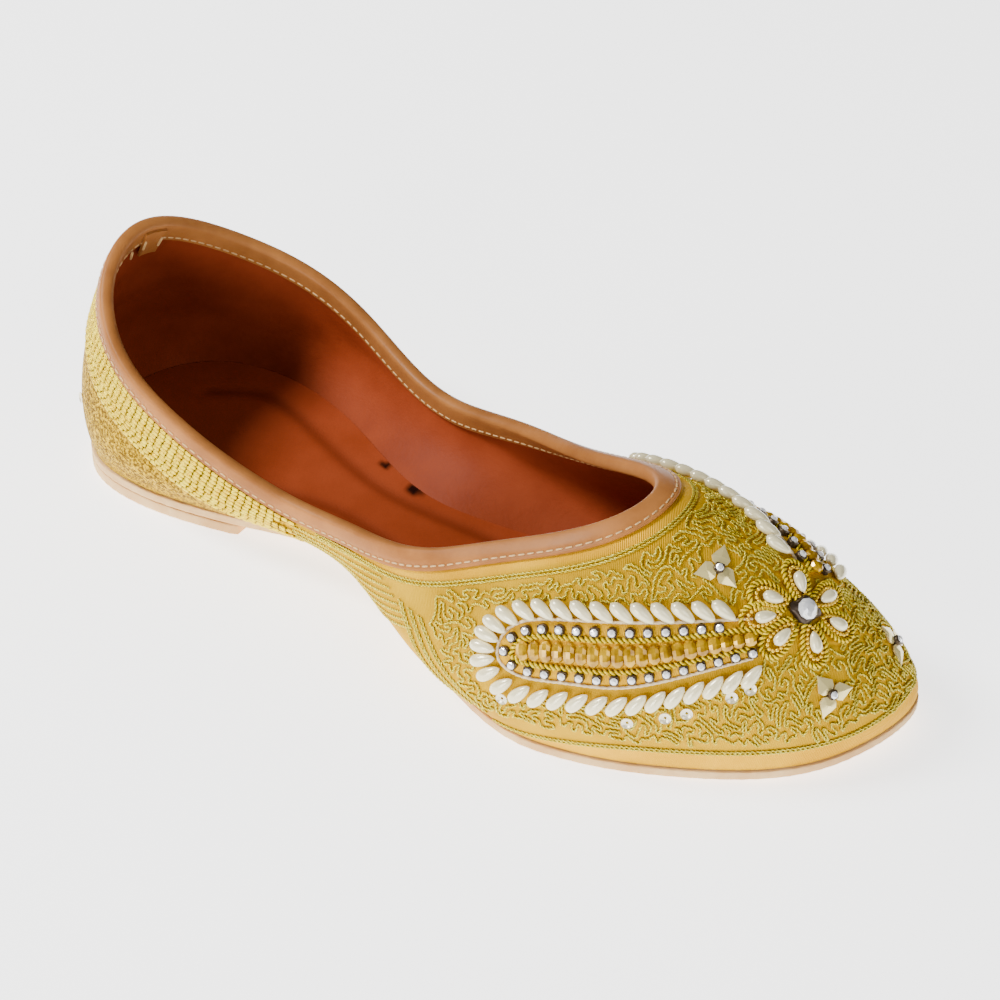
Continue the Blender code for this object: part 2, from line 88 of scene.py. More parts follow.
SECTION_COLUMNS = ("along", "of_heel_width", "of_ball_width", "swing", "tuck", "of_back", "of_instep")
SECTIONS = (
    (0.000, 0.000, 0.000, 0.00, 0.00, 1.34, 0.00),
    (0.040, 0.335, 0.000, 0.03, 0.10, 1.34, 0.00),
    (0.120, 0.490, 0.000, 0.12, 0.36, 1.43, 0.00),
    (0.250, 0.500, 0.000, 0.10, 0.68, 1.63, 0.00),
    (0.420, 0.000, 0.385, -0.40, 0.99, 0.00, 1.13),
    (0.580, 0.000, 0.500, -1.05, 0.67, 0.00, 0.85),
    (0.700, 0.000, 0.474, -1.13, 0.21, 0.00, 0.98),
    (0.820, 0.000, 0.395, -0.70, 0.11, 0.00, 0.88),
    (0.920, 0.000, 0.312, 0.00, 0.08, 0.00, 0.55),
    (0.975, 0.000, 0.196, 0.56, 0.08, 0.00, 0.22),
    (1.000, 0.000, 0.000, 1.00, 0.08, 0.00, 0.00),
)
TOPLINE_COLUMNS = ("along_opening", "of_back", "of_instep")
TOPLINE = (
    (0.00, 1.00, 0.00),
    (0.13, 0.77, 0.00),
    (0.29, 0.57, 0.00),
    (0.48, 0.00, 0.40),
    (0.68, 0.00, 0.54),
    (0.84, 0.00, 0.76),
)
FEATHER_COLUMNS = ("along", "of_seat", "of_spring")
FEATHER = (
    (0.00, 1.00, 0.00),
    (0.28, 1.00, 0.00),
    (0.42, 0.85, 0.00),
    (0.56, 0.00, 0.00),
    (0.75, 0.00, 0.00),
    (0.88, 0.00, 0.40),
    (1.00, 0.00, 1.00),
)


def table(names, rows):
    return dict(zip(names, np.array(rows, float).T))


def natural_curve(at, values):
    """A smooth curve through the rows, straight at both of its ends."""
    at, values = np.asarray(at, float), np.asarray(values, float)
    step, last = np.diff(at), len(at) - 1
    slope = np.diff(values) / step
    left, right = np.eye(last + 1), np.zeros(last + 1)
    for i in range(1, last):
        left[i, i - 1:i + 2] = step[i - 1], 2 * (step[i - 1] + step[i]), step[i]
        right[i] = 6 * (slope[i] - slope[i - 1])
    bend = np.linalg.solve(left, right)

    def read(x):
        i = np.clip(np.searchsorted(at, x) - 1, 0, last - 1)
        h, after, before = step[i], x - at[i], at[i + 1] - x
        curved = (bend[i] * before ** 3 + bend[i + 1] * after ** 3) / (6 * h)
        return (curved + (values[i] / h - bend[i] * h / 6) * before
                + (values[i + 1] / h - bend[i + 1] * h / 6) * after)
    return read


def steady_curve(at, values):
    """A curve through the rows that never passes a row's value."""
    at, values = np.asarray(at, float), np.asarray(values, float)
    step = np.diff(at)
    slope = np.diff(values) / step
    grade = np.zeros(len(at))
    for i in range(1, len(at) - 1):
        if slope[i - 1] * slope[i] > 0:
            grade[i] = 2 * slope[i - 1] * slope[i] / (slope[i - 1] + slope[i])
    grade[0], grade[-1] = slope[0], slope[-1]

    def read(x):
        i = np.clip(np.searchsorted(at, x) - 1, 0, len(at) - 2)
        h = step[i]
        u = np.clip((x - at[i]) / h, 0, 1)
        return (values[i] * (1 + 2 * u) * (1 - u) ** 2 + values[i + 1] * u * u * (3 - 2 * u)
                + h * u * (1 - u) * (grade[i] * (1 - u) - grade[i + 1] * u))
    return read


def smooth_step(x, low=0.0, high=1.0):
    u = np.clip((x - low) / (high - low), 0, 1)
    return u * u * (3 - 2 * u)


def angle_at(share):
    return np.arccos(1 - 2 * np.clip(share, 0, 1))


def share_at(angle):
    return (1 - np.cos(angle)) / 2


section = table(SECTION_COLUMNS, SECTIONS)
half_width = natural_curve(angle_at(section["along"]),
                           section["of_heel_width"] * HEEL_WIDTH + section["of_ball_width"] * BALL_WIDTH)
ridge = natural_curve(angle_at(section["along"]),
                      section["of_back"] * BACK_HEIGHT + section["of_instep"] * INSTEP_HEIGHT)
swing = natural_curve(section["along"], section["swing"] * TOE_SWING)
tuck = steady_curve(section["along"], section["tuck"] * WAIST_TUCK)
seat = table(FEATHER_COLUMNS, FEATHER)
feather_height = steady_curve(
    seat["along"], SOLE + GAP + seat["of_seat"] * (HEEL_LIFT + GAP) + seat["of_spring"] * TOE_SPRING)
edge = table(TOPLINE_COLUMNS, TOPLINE)
topline_height = natural_curve(
    np.append(edge["along_opening"], 1.0) * THROAT,
    np.append(edge["of_back"] * BACK_HEIGHT + edge["of_instep"] * INSTEP_HEIGHT, ridge(angle_at(THROAT))))


def surface(along, around):
    """The upper's outside at an angle along the last and one around its section, which is 0 at
    the feather line of the outer side and a half turn at that of the inner side."""
    share = share_at(along)
    width, height = half_width(along), ridge(np.abs(along))
    up = height * np.sin(around)
    turned = np.clip(1 - up / TURN_HEIGHT, 0, 1) ** 2
    inward = turned * tuck(share) * np.minimum(1, width / TUCK_FADE)
    back = np.clip(1 - share / BACK_REACH, 0, 1) ** 1.5
    lean = HEEL_LEAN * np.clip((up - TURN_HEIGHT) / (BACK_HEIGHT - TURN_HEIGHT), 0, 2) ** 1.6
    toe = np.clip(1 - (1 - share) / TOE_REACH, 0, 1) ** 2
    x = (share - 0.5) * LENGTH + back * (lean + HEEL_BELLY * turned) - TOE_ROUND * toe * turned
    y = swing(share) - np.cos(around) * (width - inward)
    return np.stack([x + MIDDLE[0], y + MIDDLE[1], feather_height(share) + up], -1)


def slopes(along, around):
    d = 1e-4
    return ((surface(along + d, around) - surface(along - d, around)) / (2 * d),
            (surface(along, around + d) - surface(along, around - d)) / (2 * d))


def unit(vectors):
    return vectors / np.maximum(np.linalg.norm(vectors, axis=-1, keepdims=True), 1e-12)


def outward(along, around):
    lengthways, crossways = slopes(np.minimum(along, np.pi - 0.05), around)
    return unit(np.cross(lengthways, crossways))


def walk(along, around, heading, distance, steps=8):
    """Follow the surface for a distance along a heading, as a stretched thread lies."""
    for _ in range(steps):
        lengthways, crossways = slopes(along, around)
        stride = heading * (distance / steps)[..., None]
        a, b, c = ((lengthways * lengthways).sum(-1), (lengthways * crossways).sum(-1),
                   (crossways * crossways).sum(-1))
        p, q = (lengthways * stride).sum(-1), (crossways * stride).sum(-1)
        det = a * c - b * b
        along = along + (c * p - b * q) / det
        around = around + (a * q - b * p) / det
        normal = outward(along, around)
        heading = unit(heading - normal * (normal * heading).sum(-1, keepdims=True))
    return along, around


def both_sides(near, far):
    return np.concatenate([near, far[-2:0:-1]])


place = np.arange(COLUMNS + 1) / COLUMNS
near_share = THROAT * share_at(np.pi * place)
near_along = angle_at(near_share)
near_around = np.arcsin(np.clip(topline_height(near_share) / ridge(near_along), 0, 1))
near_around[-1] = np.pi / 2
top_along = both_sides(near_along, near_along)
top_around = both_sides(near_around, np.pi - near_around)
ring_place = both_sides(place, place)
inner_side = np.arange(len(ring_place)) > COLUMNS
top_points = surface(top_along, top_around)
edge_run = np.roll(top_points, -1, axis=0) - np.roll(top_points, 1, axis=0)
downward = unit(np.cross(edge_run, outward(top_along, top_around)))
leg = BINDING_BACK + (BINDING_FRONT - BINDING_BACK) * smooth_step(ring_place, 0.20, 0.85)
foot_along = np.pi * ring_place


def under_edge(distance):
    """Angles of the points that lie a distance under the topline."""
    return walk(top_along, top_around, downward, distance * np.ones(len(top_along)))


def toward_feather(share):
    """Angles part of the way from the binding's lower edge to the feather line."""
    along, around = under_edge(leg)
    around = np.where(inner_side, np.pi - around, around)
    reach = np.pi - along
    sideways = reach * np.cos(around) * (1 - share) + (np.pi - foot_along) * share
    forward = reach * np.sin(around) * (1 - share)
    fan = ring_place ** 2
    spread = np.arctan2(forward, sideways)
    spread[COLUMNS] = np.pi / 2
    turned = (1 - fan) * around * (1 - share) + fan * spread
    along = ((1 - fan) * (along + (foot_along - along) * share)
             + fan * (np.pi - np.hypot(sideways, forward)))
    return along, np.where(inner_side, np.pi - turned, turned)


def colour(red, green, blue):
    """A colour as it is read on a screen, 0 to 255, as the linear values of a shader."""
    values = np.array([red, green, blue]) / 255
    linear = np.where(values < 0.04045, values / 12.92, ((values + 0.055) / 1.055) ** 2.4)
    return (*linear.tolist(), 1.0)


class Value:
    """A socket in a material. Plus, minus and times on it make Math nodes."""

    def __init__(self, material, socket):
        self.material, self.socket = material, socket

    def math(self, operation, *others):
        return node(self.material, "ShaderNodeMath", (self, *others), operation=operation)

    def __add__(self, other):
        return self.math("ADD", other)

    def __sub__(self, other):
        return self.math("SUBTRACT", other)

    def __mul__(self, other):
        return self.math("MULTIPLY", other)


def node(material, kind, inputs=(), output=0, **settings):
    """Adds a node to a material, sets its inputs and returns one of its outputs."""
    tree = material.node_tree
    made = tree.nodes.new(kind)
    for key, value in settings.items():
        setattr(made, key, value)
    for key, value in (inputs.items() if isinstance(inputs, dict) else enumerate(inputs)):
        if isinstance(value, Value):
            tree.links.new(value.socket, made.inputs[key])
        else:
            made.inputs[key].default_value = value
    return Value(material, made.outputs[output])


def new_material(name, base, roughness, metallic=0.0, **others):
    material = bpy.data.materials.new(name)
    material.use_nodes = True
    finish(material, {"Base Color": base, "Roughness": roughness, "Metallic": metallic, **others})
    return material


def finish(material, inputs):
    """Sets or links inputs of the material's own shader."""
    shader = material.node_tree.nodes["Principled BSDF"]
    for key, value in inputs.items():
        if isinstance(value, Value):
            material.node_tree.links.new(value.socket, shader.inputs[key])
        else:
            shader.inputs[key].default_value = value


def spots(material):
    return node(material, "ShaderNodeTexCoord", output=3)


def noise(material, scale, detail=3.0, coarse=0.55):
    return node(material, "ShaderNodeTexNoise",
                {"Vector": spots(material), "Scale": scale, "Detail": detail, "Roughness": coarse})


def ramp(value, low, high):
    """0 below one value of a socket and 1 above another."""
    return node(value.material, "ShaderNodeMapRange", {0: value, 1: low, 2: high})


def mix(factor, first, second):
    return node(factor.material, "ShaderNodeMix", {0: factor, 6: first, 7: second}, 2, data_type="RGBA")


def bump(height, distance, below=None):
    inputs = {"Height": height, "Distance": distance}
    if below is not None:
        inputs["Normal"] = below
    return node(height.material, "ShaderNodeBump", inputs)


def new_piece(name, points, faces, materials, slots=None, sharp=60, marks=()):
    """A piece from points and faces, in the shoe's frame, that rides with the shoe."""
    mesh = bpy.data.meshes.new(name)
    mesh.from_pydata(np.asarray(points).tolist(), [], faces)
    for material in materials:
        mesh.materials.append(material)
    if slots is not None:
        mesh.polygons.foreach_set("material_index", slots)
    work = bmesh.new()
    work.from_mesh(mesh)
    bmesh.ops.recalc_face_normals(work, faces=work.faces)
    work.to_mesh(mesh)
    work.free()
    for label, values in marks:
        mesh.attributes.new(label, "FLOAT", "POINT").data.foreach_set("value", values)
    mesh.shade_smooth()
    mesh.set_sharp_from_angle(angle=np.radians(sharp))
    piece = bpy.data.objects.new(name, mesh)
    bpy.context.scene.collection.objects.link(piece)
    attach(piece, "root")
    return piece


def ring_faces(count, size):
    """Quads between closed profiles of one size, set around a closed path."""
    i, j = np.meshgrid(np.arange(count), np.arange(size), indexing="ij")
    after, beside = (i + 1) % count, (j + 1) % size
    quads = np.stack([i * size + j, after * size + j, after * size + beside, i * size + beside], -1)
    return quads.reshape(-1, 4).tolist()


FABRIC = new_material("gold_fabric", (0.80, 0.44, 0.01, 1.0), 0.45, 0.3, **{"Specular IOR Level": 0.0})
mark = node(FABRIC, "ShaderNodeAttribute", output=2, attribute_name="rear")
where = spots(FABRIC)
x = node(FABRIC, "ShaderNodeSeparateXYZ", (where,), 0)
y = node(FABRIC, "ShaderNodeSeparateXYZ", (where,), 1)
z = node(FABRIC, "ShaderNodeSeparateXYZ", (where,), 2)
rib = ((x + (z - y.math("ABSOLUTE")) * 0.4) * (2 * np.pi / RIB_PITCH)).math("SINE")
glitter = ramp(noise(FABRIC, 1150.0, 2.0, 0.7), 0.42, 0.60)
cloud = ramp(noise(FABRIC, 45.0, 4.0), 0.35, 0.68)
plain = mix(cloud, (0.66, 0.33, 0.002, 1), (0.86, 0.48, 0.01, 1))
# Painted shade and some dirt: in the embroidered zone the ground fabric between the cords turns a darker olive gold.
cord_shade_and_dirt = node(FABRIC, "ShaderNodeAttribute", output=2, attribute_name="cord_shade_and_dirt")
plain = mix(cord_shade_and_dirt * 0.8, plain, mix(cloud, (0.46, 0.26, 0.0, 1), (0.68, 0.40, 0.0, 1)))
sparkle = mix(glitter, (0.15, 0.075, 0.0, 1), (0.74, 0.45, 0.0, 1))
finish(FABRIC, {
    "Base Color": mix(mark, plain, sparkle),
    "Roughness": ramp(glitter * mark, 1.6, -0.2) * 0.5,
    "Normal": bump(rib * 0.5 + glitter * mark * 4.0 + noise(FABRIC, 260.0, 3.0), 0.00006)})

LINING = new_material("lining_leather", (0.3, 0.055, 0.018, 1), 0.5, **{"Specular IOR Level": 0.08})
grain = noise(LINING, 900.0, 4.0, 0.6)
stain = ramp(noise(LINING, 28.0, 4.0, 0.6), 0.32, 0.72)
finish(LINING, {
    "Base Color": mix(stain, (0.22, 0.033, 0.009, 1), (0.36, 0.064, 0.019, 1)),
    "Roughness": ramp(stain, -0.6, 1.8) * 0.35 + 0.35,
    "Normal": bump(grain, 0.00008)})

edge_drop = BINDING + GAP
outer_angles = [under_edge(edge_drop + (leg - edge_drop) * share) for share in np.linspace(0, 1, 6)]
outer_angles += [toward_feather(share) for share in np.linspace(0, 1, 68)[1:]]
inner_angles = outer_angles[::-2]
outer_rows = [surface(*angles) for angles in outer_angles]
inner_rows = []
for angles in inner_angles:
    spot = surface(*angles)
    folds = 0.5 + 0.5 * np.sin(2 * np.pi * (spot[:, 2] + 0.3 * spot[:, 0]) / FOLD_PITCH
                               + 2.2 * np.sin(spot[:, 0] * 70))
    folds *= 0.5 + 0.5 * np.sin(spot[:, 0] * 130 + spot[:, 2] * 90 + 1.0)
    sunk = FOLD_DEPTH * folds * smooth_step(spot[:, 0], 0.02, -0.05) * smooth_step(spot[:, 2], 0.012, 0.02)
    inner_rows.append(spot - outward(*angles) * (WALL + sunk)[:, None])
rows = np.stack(outer_rows + inner_rows, axis=1)
count, size = rows.shape[:2]
row_slots = np.repeat([np.where((np.arange(size) >= len(outer_rows) - 1) & (np.arange(size) < size - 1), 1, 0)],
                      count, axis=0)
rear = np.stack([1 - smooth_step(share_at(angles[0]), 0.30, 0.42) for angles in outer_angles + inner_angles], 1)
outer_grid = np.stack(outer_rows)
fall = np.append(np.zeros((1, count)),
                 np.cumsum(np.linalg.norm(np.diff(outer_grid, axis=0), axis=2), axis=0), axis=0)
rise = fall[-1] - fall
share_here = np.stack([share_at(angles[0]) for angles in outer_angles])
# Mask of the embroidered zone, which carries that painted shade and dirt on the ground fabric.
cord_shade_and_dirt = (smooth_step(fall - (leg - edge_drop), 0.0004 + PLAIN_BAND * smooth_step(ring_place, 0.5, 0.74),
                      0.0016 + PLAIN_BAND * smooth_step(ring_place, 0.5, 0.74))
          * smooth_step(rise, 0.0012 + 0.0052 * smooth_step(ring_place, 0.56, 0.72),
                        0.0022 + 0.0052 * smooth_step(ring_place, 0.56, 0.72))
          * smooth_step(share_here, 0.34, 0.40))
cord_shade_and_dirt = np.concatenate([cord_shade_and_dirt, np.zeros((size - len(outer_rows), count))]).T
upper = new_piece("upper_skin", rows.reshape(-1, 3), ring_faces(count, size), (FABRIC, LINING),
                  row_slots.ravel(), marks=(("rear", rear.ravel()), ("cord_shade_and_dirt", cord_shade_and_dirt.ravel())))
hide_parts("upper")


# Topline binding: one strip of tan leather, folded over the collar's edge and sewn down with
# a light thread close to its lower edge, both outside and in. The two bar tacks at the back
# hold a small tab over the strip's joint.
BINDING_INSIDE = 0.0065
SEAM = 0.0012                   # stitches over the strip's lower edge
STITCH = 0.0018
STITCH_PITCH = 0.0025
STITCH_RADIUS = 0.00023
TAB_WIDTH = 0.0075
TAB_DROP = 0.0100

TAN = new_material("tan_leather", (0.58, 0.23, 0.06, 1), 0.42, **{"Specular IOR Level": 0.14})
worn = ramp(noise(TAN, 60.0, 4.0, 0.6), 0.35, 0.7)
fine = noise(TAN, 1400.0, 4.0, 0.65)
finish(TAN, {
    "Base Color": mix(worn, (0.29, 0.105, 0.026, 1), (0.45, 0.175, 0.044, 1)),
    "Roughness": worn * 0.14 + 0.34,
    "Normal": bump(fine + noise(TAN, 180.0, 3.0) * 1.5, 0.00006)})
THREAD = new_material("light_thread", (0.66, 0.40, 0.16, 1), 0.6)

top_lift, under_lift = GAP + BINDING, -WALL - GAP - BINDING
profile = [(leg - 0.0001, GAP), (leg, GAP + 0.5 * BINDING), (leg - 0.0002, GAP + 0.9 * BINDING)]
profile += [(leg + (0.0010 - leg) * share, top_lift + 0.00012 * np.sin(np.pi * share)
             - 0.00022 * np.exp(-((share * (leg - 0.001) - SEAM) / 0.0005) ** 2))
            for share in (0.06, 0.12, 0.18, 0.24, 0.32, 0.45, 0.6, 0.8, 1.0)]
for turn in np.linspace(0, np.pi, 9)[1:-1]:
    middle_lift, half_thick = (top_lift + under_lift) / 2, (top_lift - under_lift) / 2
    profile.append((0.0010 - 0.0012 * np.sin(turn), middle_lift + half_thick * np.cos(turn)))
profile += [(0.0010 + (BINDING_INSIDE - 0.001) * share, under_lift) for share in (0, 0.25, 0.5, 0.75, 0.97)]
profile += [(BINDING_INSIDE, under_lift + 0.5 * BINDING), (BINDING_INSIDE - 0.0001, -WALL - GAP),
            (BINDING, -WALL - GAP), (BINDING, GAP)]
strips = []
for drop, lift in profile:
    angles = under_edge(drop)
    strips.append(surface(*angles) + outward(*angles) * (lift * np.ones(len(top_along)))[:, None])
binding = new_piece("binding", np.stack(strips, 1).reshape(-1, 3), ring_faces(len(top_along), len(profile)),
                    (TAN,))
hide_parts("topline_binding")


class Tree:
    """A Geometry Nodes tree with named inputs, built node by node."""

    def __init__(self, name, inputs):
        self.tree = bpy.data.node_groups.new(name, "GeometryNodeTree")
        self.tree.interface.new_socket("Geometry", in_out="INPUT", socket_type="NodeSocketGeometry")
        for label, kind in inputs:
            self.tree.interface.new_socket(label, in_out="INPUT", socket_type="NodeSocket" + kind)
        self.tree.interface.new_socket("Geometry", in_out="OUTPUT", socket_type="NodeSocketGeometry")
        self.given = self.tree.nodes.new("NodeGroupInput").outputs

    def node(self, kind, inputs, output=0, **settings):
        made = self.tree.nodes.new(kind)
        for key, value in settings.items():
            setattr(made, key, value)
        for key, value in inputs.items():
            if isinstance(value, bpy.types.NodeSocket):
                self.tree.links.new(value, made.inputs[key])
            else:
                made.inputs[key].default_value = value
        return made.outputs[output] if len(made.outputs) else None

    def end(self, geometry):
        """Realizes the instances and gives them the tree's material."""
        real = self.node("GeometryNodeRealizeInstances", {0: geometry})
        shown = self.node("GeometryNodeSetMaterial", {"Geometry": real, "Material": self.given["Material"]})
        self.node("NodeGroupOutput", {0: shown})


def grown(name, mesh, tree, values):
    """A piece from a mesh of points or lines, made by a tree with these named inputs."""
    piece = bpy.data.objects.new(name, mesh)
    bpy.context.scene.collection.objects.link(piece)
    modifier = piece.modifiers.new(tree.tree.name, "NODES")
    modifier.node_group = tree.tree
    for item in tree.tree.interface.items_tree:
        if item.in_out == "INPUT" and item.name in values:
            modifier[item.identifier] = values[item.name]
    bpy.context.view_layer.update()
    shown = piece.evaluated_get(bpy.context.evaluated_depsgraph_get())
    made = bpy.data.meshes.new_from_object(shown)
    piece.modifiers.remove(modifier)
    piece.data = made
    made.name = name
    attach(piece, "root")
    return piece


# A cord tree: lines become curves, are twisted evenly, and carry a flattened profile, so two
# plies seem to wind round each other
cord_tree = Tree("twisted_cord", (("Radius", "Float"), ("Flatness", "Float"), ("Twist", "Float"),
                                  ("Step", "Float"), ("Sides", "Int"), ("Material", "Material")))
given = cord_tree.given
curve = cord_tree.node("GeometryNodeMeshToCurve", {0: given["Geometry"]})
curve = cord_tree.node("GeometryNodeResampleCurve", {"Curve": curve, "Length": given["Step"]}, mode="LENGTH")
run = cord_tree.node("GeometryNodeSplineParameter", {}, 1)
turns = cord_tree.node("ShaderNodeMath", {0: run, 1: given["Twist"]}, operation="DIVIDE")
tilt = cord_tree.node("ShaderNodeMath", {0: turns, 1: 2 * np.pi}, operation="MULTIPLY")
curve = cord_tree.node("GeometryNodeSetCurveTilt", {"Curve": curve, "Tilt": tilt})
ring = cord_tree.node("GeometryNodeCurvePrimitiveCircle",
                      {"Resolution": given["Sides"], "Radius": given["Radius"]}, mode="RADIUS")
flat = cord_tree.node("ShaderNodeCombineXYZ", {0: 1.0, 1: given["Flatness"], 2: 1.0})
ring = cord_tree.node("GeometryNodeTransform", {"Geometry": ring, "Scale": flat})
# The profile stores each point's distance from the cord's middle as 'crest'; the cord materials colour low crest
# near-black, as painted shade between the plies.
out = cord_tree.node("ShaderNodeSeparateXYZ", {0: cord_tree.node("GeometryNodeInputPosition", {})}, 0)
out = cord_tree.node("ShaderNodeMath", {0: cord_tree.node("ShaderNodeMath", {0: out}, operation="ABSOLUTE"),
                                        1: given["Radius"]}, operation="DIVIDE")
ring = cord_tree.node("GeometryNodeStoreNamedAttribute", {"Geometry": ring, "Name": "crest", "Value": out},
                      data_type="FLOAT", domain="POINT")
tube = cord_tree.node("GeometryNodeCurveToMesh", {"Curve": curve, "Profile Curve": ring, "Fill Caps": True})
cord_tree.end(cord_tree.node("GeometryNodeSetShadeSmooth", {0: tube}))

# A setting tree: a small shape stands on each point, its length along one vector and its top
# along another
setting_tree = Tree("set_on_points", (("Shape", "Object"), ("Material", "Material")))
given = setting_tree.given
shape = setting_tree.node("GeometryNodeObjectInfo", {"Object": given["Shape"]}, 4)
ahead = setting_tree.node("GeometryNodeInputNamedAttribute", {"Name": "ahead"}, data_type="FLOAT_VECTOR")
above = setting_tree.node("GeometryNodeInputNamedAttribute", {"Name": "above"}, data_type="FLOAT_VECTOR")
scale = setting_tree.node("GeometryNodeInputNamedAttribute", {"Name": "scale"}, data_type="FLOAT_VECTOR")
facing = setting_tree.node("FunctionNodeAxesToRotation",
                           {"Primary Axis": above, "Secondary Axis": ahead},
                           primary_axis="Z", secondary_axis="X")
stood = setting_tree.node("GeometryNodeInstanceOnPoints",
                          {"Points": given["Geometry"], "Instance": shape, "Rotation": facing, "Scale": scale})
setting_tree.end(stood)


def cord(name, paths, radius, material, twist=0.002, flatness=0.62, step=0.0003, sides=6, closed=False):
    """Twisted cords along paths of points."""
    points, edges = [], []
    for path in paths:
        start = sum(len(done) for done in points)
        points.append(np.asarray(path))
        links = [(start + i, start + i + 1) for i in range(len(path) - 1)]
        edges += links + ([(start + len(path) - 1, start)] if closed else [])
    mesh = bpy.data.meshes.new(name)
    mesh.from_pydata(np.concatenate(points).tolist(), edges, [])
    return grown(name, mesh, cord_tree, {"Radius": radius, "Flatness": flatness, "Twist": twist,
                                         "Step": step, "Sides": sides, "Material": material})


def set_pieces(name, points, ahead, above, shape, material, scale=None):
    """Copies of a small shape, set on points with its X ahead and its Z above."""
    points = np.asarray(points, float).reshape(-1, 3)
    mesh = bpy.data.meshes.new(name)
    mesh.from_pydata(points.tolist(), [], [])
    scale = np.ones((len(points), 3)) if scale is None else scale
    for label, vectors in (("ahead", ahead), ("above", above), ("scale", scale)):
        values = np.broadcast_to(np.asarray(vectors, float), points.shape).astype(np.float32)
        mesh.attributes.new(label, "FLOAT_VECTOR", "POINT").data.foreach_set("vector", values.ravel())
    piece = grown(name, mesh, setting_tree, {"Shape": shape, "Material": material})
    bpy.data.objects.remove(shape)
    return piece


def lathe(radii, heights, sides, squash=1.0, smooth=True):
    """A small turned shape round its own X axis, standing at the origin for the setting tree."""
    turn = np.arange(sides) / sides * 2 * np.pi
    points = np.array([(h, r * np.cos(a), squash * r * np.sin(a)) for r, h in zip(radii, heights) for a in turn])
    faces = []
    for i in range(len(radii) - 1):
        faces += [(i * sides + j, i * sides + (j + 1) % sides, (i + 1) * sides + (j + 1) % sides,
                   (i + 1) * sides + j) for j in range(sides)]
    faces += [tuple(range(sides)), tuple((len(radii) - 1) * sides + j for j in range(sides))]
    return shape_of(points, faces, smooth)


def shape_of(points, faces, smooth=True):
    mesh = bpy.data.meshes.new("shape")
    mesh.from_pydata(np.asarray(points).tolist(), [], faces)
    work = bmesh.new()
    work.from_mesh(mesh)
    bmesh.ops.recalc_face_normals(work, faces=work.faces)
    work.to_mesh(mesh)
    work.free()
    if smooth:
        mesh.shade_smooth()
        mesh.set_sharp_from_angle(angle=np.radians(60))
    made = bpy.data.objects.new("shape", mesh)
    bpy.context.scene.collection.objects.link(made)
    return made


def even(points, pitch, *others):
    """Points in even steps along a path, with other rows of values read at the same places."""
    points = np.asarray(points)
    run = np.append(0, np.cumsum(np.linalg.norm(np.diff(points, axis=0), axis=1)))
    steps = max(2, int(round(run[-1] / pitch)) + 1)
    at = np.linspace(0, run[-1], steps)
    return [np.stack([np.interp(at, run, rows[:, k]) for k in range(rows.shape[1])], -1)
            for rows in (points, *others)]


def on_angles(angles, lift):
    return surface(*angles) + outward(*angles) * np.reshape(lift, (-1, 1)), outward(*angles)


stitch_rows = []
for drop, lift in ((leg - SEAM, top_lift), (BINDING_INSIDE - SEAM, under_lift)):
    angles = under_edge(drop)
    line, normals = on_angles(angles, lift * np.ones(len(top_along)))
    line, normals = even(np.vstack([line, line[:1]]), STITCH_PITCH, np.vstack([normals, normals[:1]]))
    stitch_rows.append((line[:-1], np.roll(line[:-1], -1, axis=0) - line[:-1], normals[:-1]))
capsule = (0.25, 0.75, 1.0, 1.0, 1.0, 0.75, 0.25)
spread = (-0.5, -0.46, -0.36, 0.0, 0.36, 0.46, 0.5)
seam = set_pieces("binding_stitches", np.concatenate([row[0] for row in stitch_rows]),
                  np.concatenate([row[1] for row in stitch_rows]),
                  np.concatenate([row[2] for row in stitch_rows]),
                  lathe(STITCH_RADIUS * np.array(capsule), STITCH * np.array(spread), 6), THREAD)

tab_columns = np.arange(-17, -3)
tab_rows = []
tab_angles = [tuple(angle[tab_columns] for angle in under_edge(drop))
              for drop in np.linspace(0.0015, TAB_DROP, 8)]
tab_out = [on_angles(angles, (under_lift - 0.0001) * np.ones(len(tab_columns)))[0] for angles in tab_angles]
tab_in = [on_angles(angles, (under_lift - 0.0008) * np.ones(len(tab_columns)))[0] for angles in tab_angles]


def pad(name, top, bottom, material, sharp=60):
    """A closed pad between two grids of points with the same rows and columns."""
    rows, columns = top.shape[:2]
    count = rows * columns
    grid = [(i * columns + j, (i + 1) * columns + j, (i + 1) * columns + j + 1, i * columns + j + 1)
            for i in range(rows - 1) for j in range(columns - 1)]
    rim = [i * columns for i in range(rows)]
    rim += [count - columns + j for j in range(1, columns)]
    rim += [i * columns + columns - 1 for i in range(rows - 2, -1, -1)]
    rim += list(range(columns - 2, 0, -1))
    faces = grid + [tuple(count + j for j in reversed(face)) for face in grid]
    faces += [(a, b, count + b, count + a) for a, b in zip(rim, rim[1:] + rim[:1])]
    return new_piece(name, np.concatenate([top.reshape(-1, 3), bottom.reshape(-1, 3)]), faces, (material,),
                     sharp=sharp)


tab = pad("heel_tab", np.stack(tab_in), np.stack(tab_out), TAN)

tacks = []
for column in (-16, -5, 7):
    angles = [tuple(angle[[column]] for angle in under_edge(drop)) for drop in (0.0042, 0.0058, 0.0074)]
    (high, _), (centre, normal), (low, _) = [on_angles(turned, np.array([under_lift - 0.0009])) for turned in angles]
    tacks.append((centre, low - high, normal))
bar_tacks = set_pieces("bar_tacks", *[np.concatenate(rows) for rows in zip(*tacks)],
                       lathe(0.0004 * np.array(capsule), 0.0034 * np.array(spread), 6), THREAD)


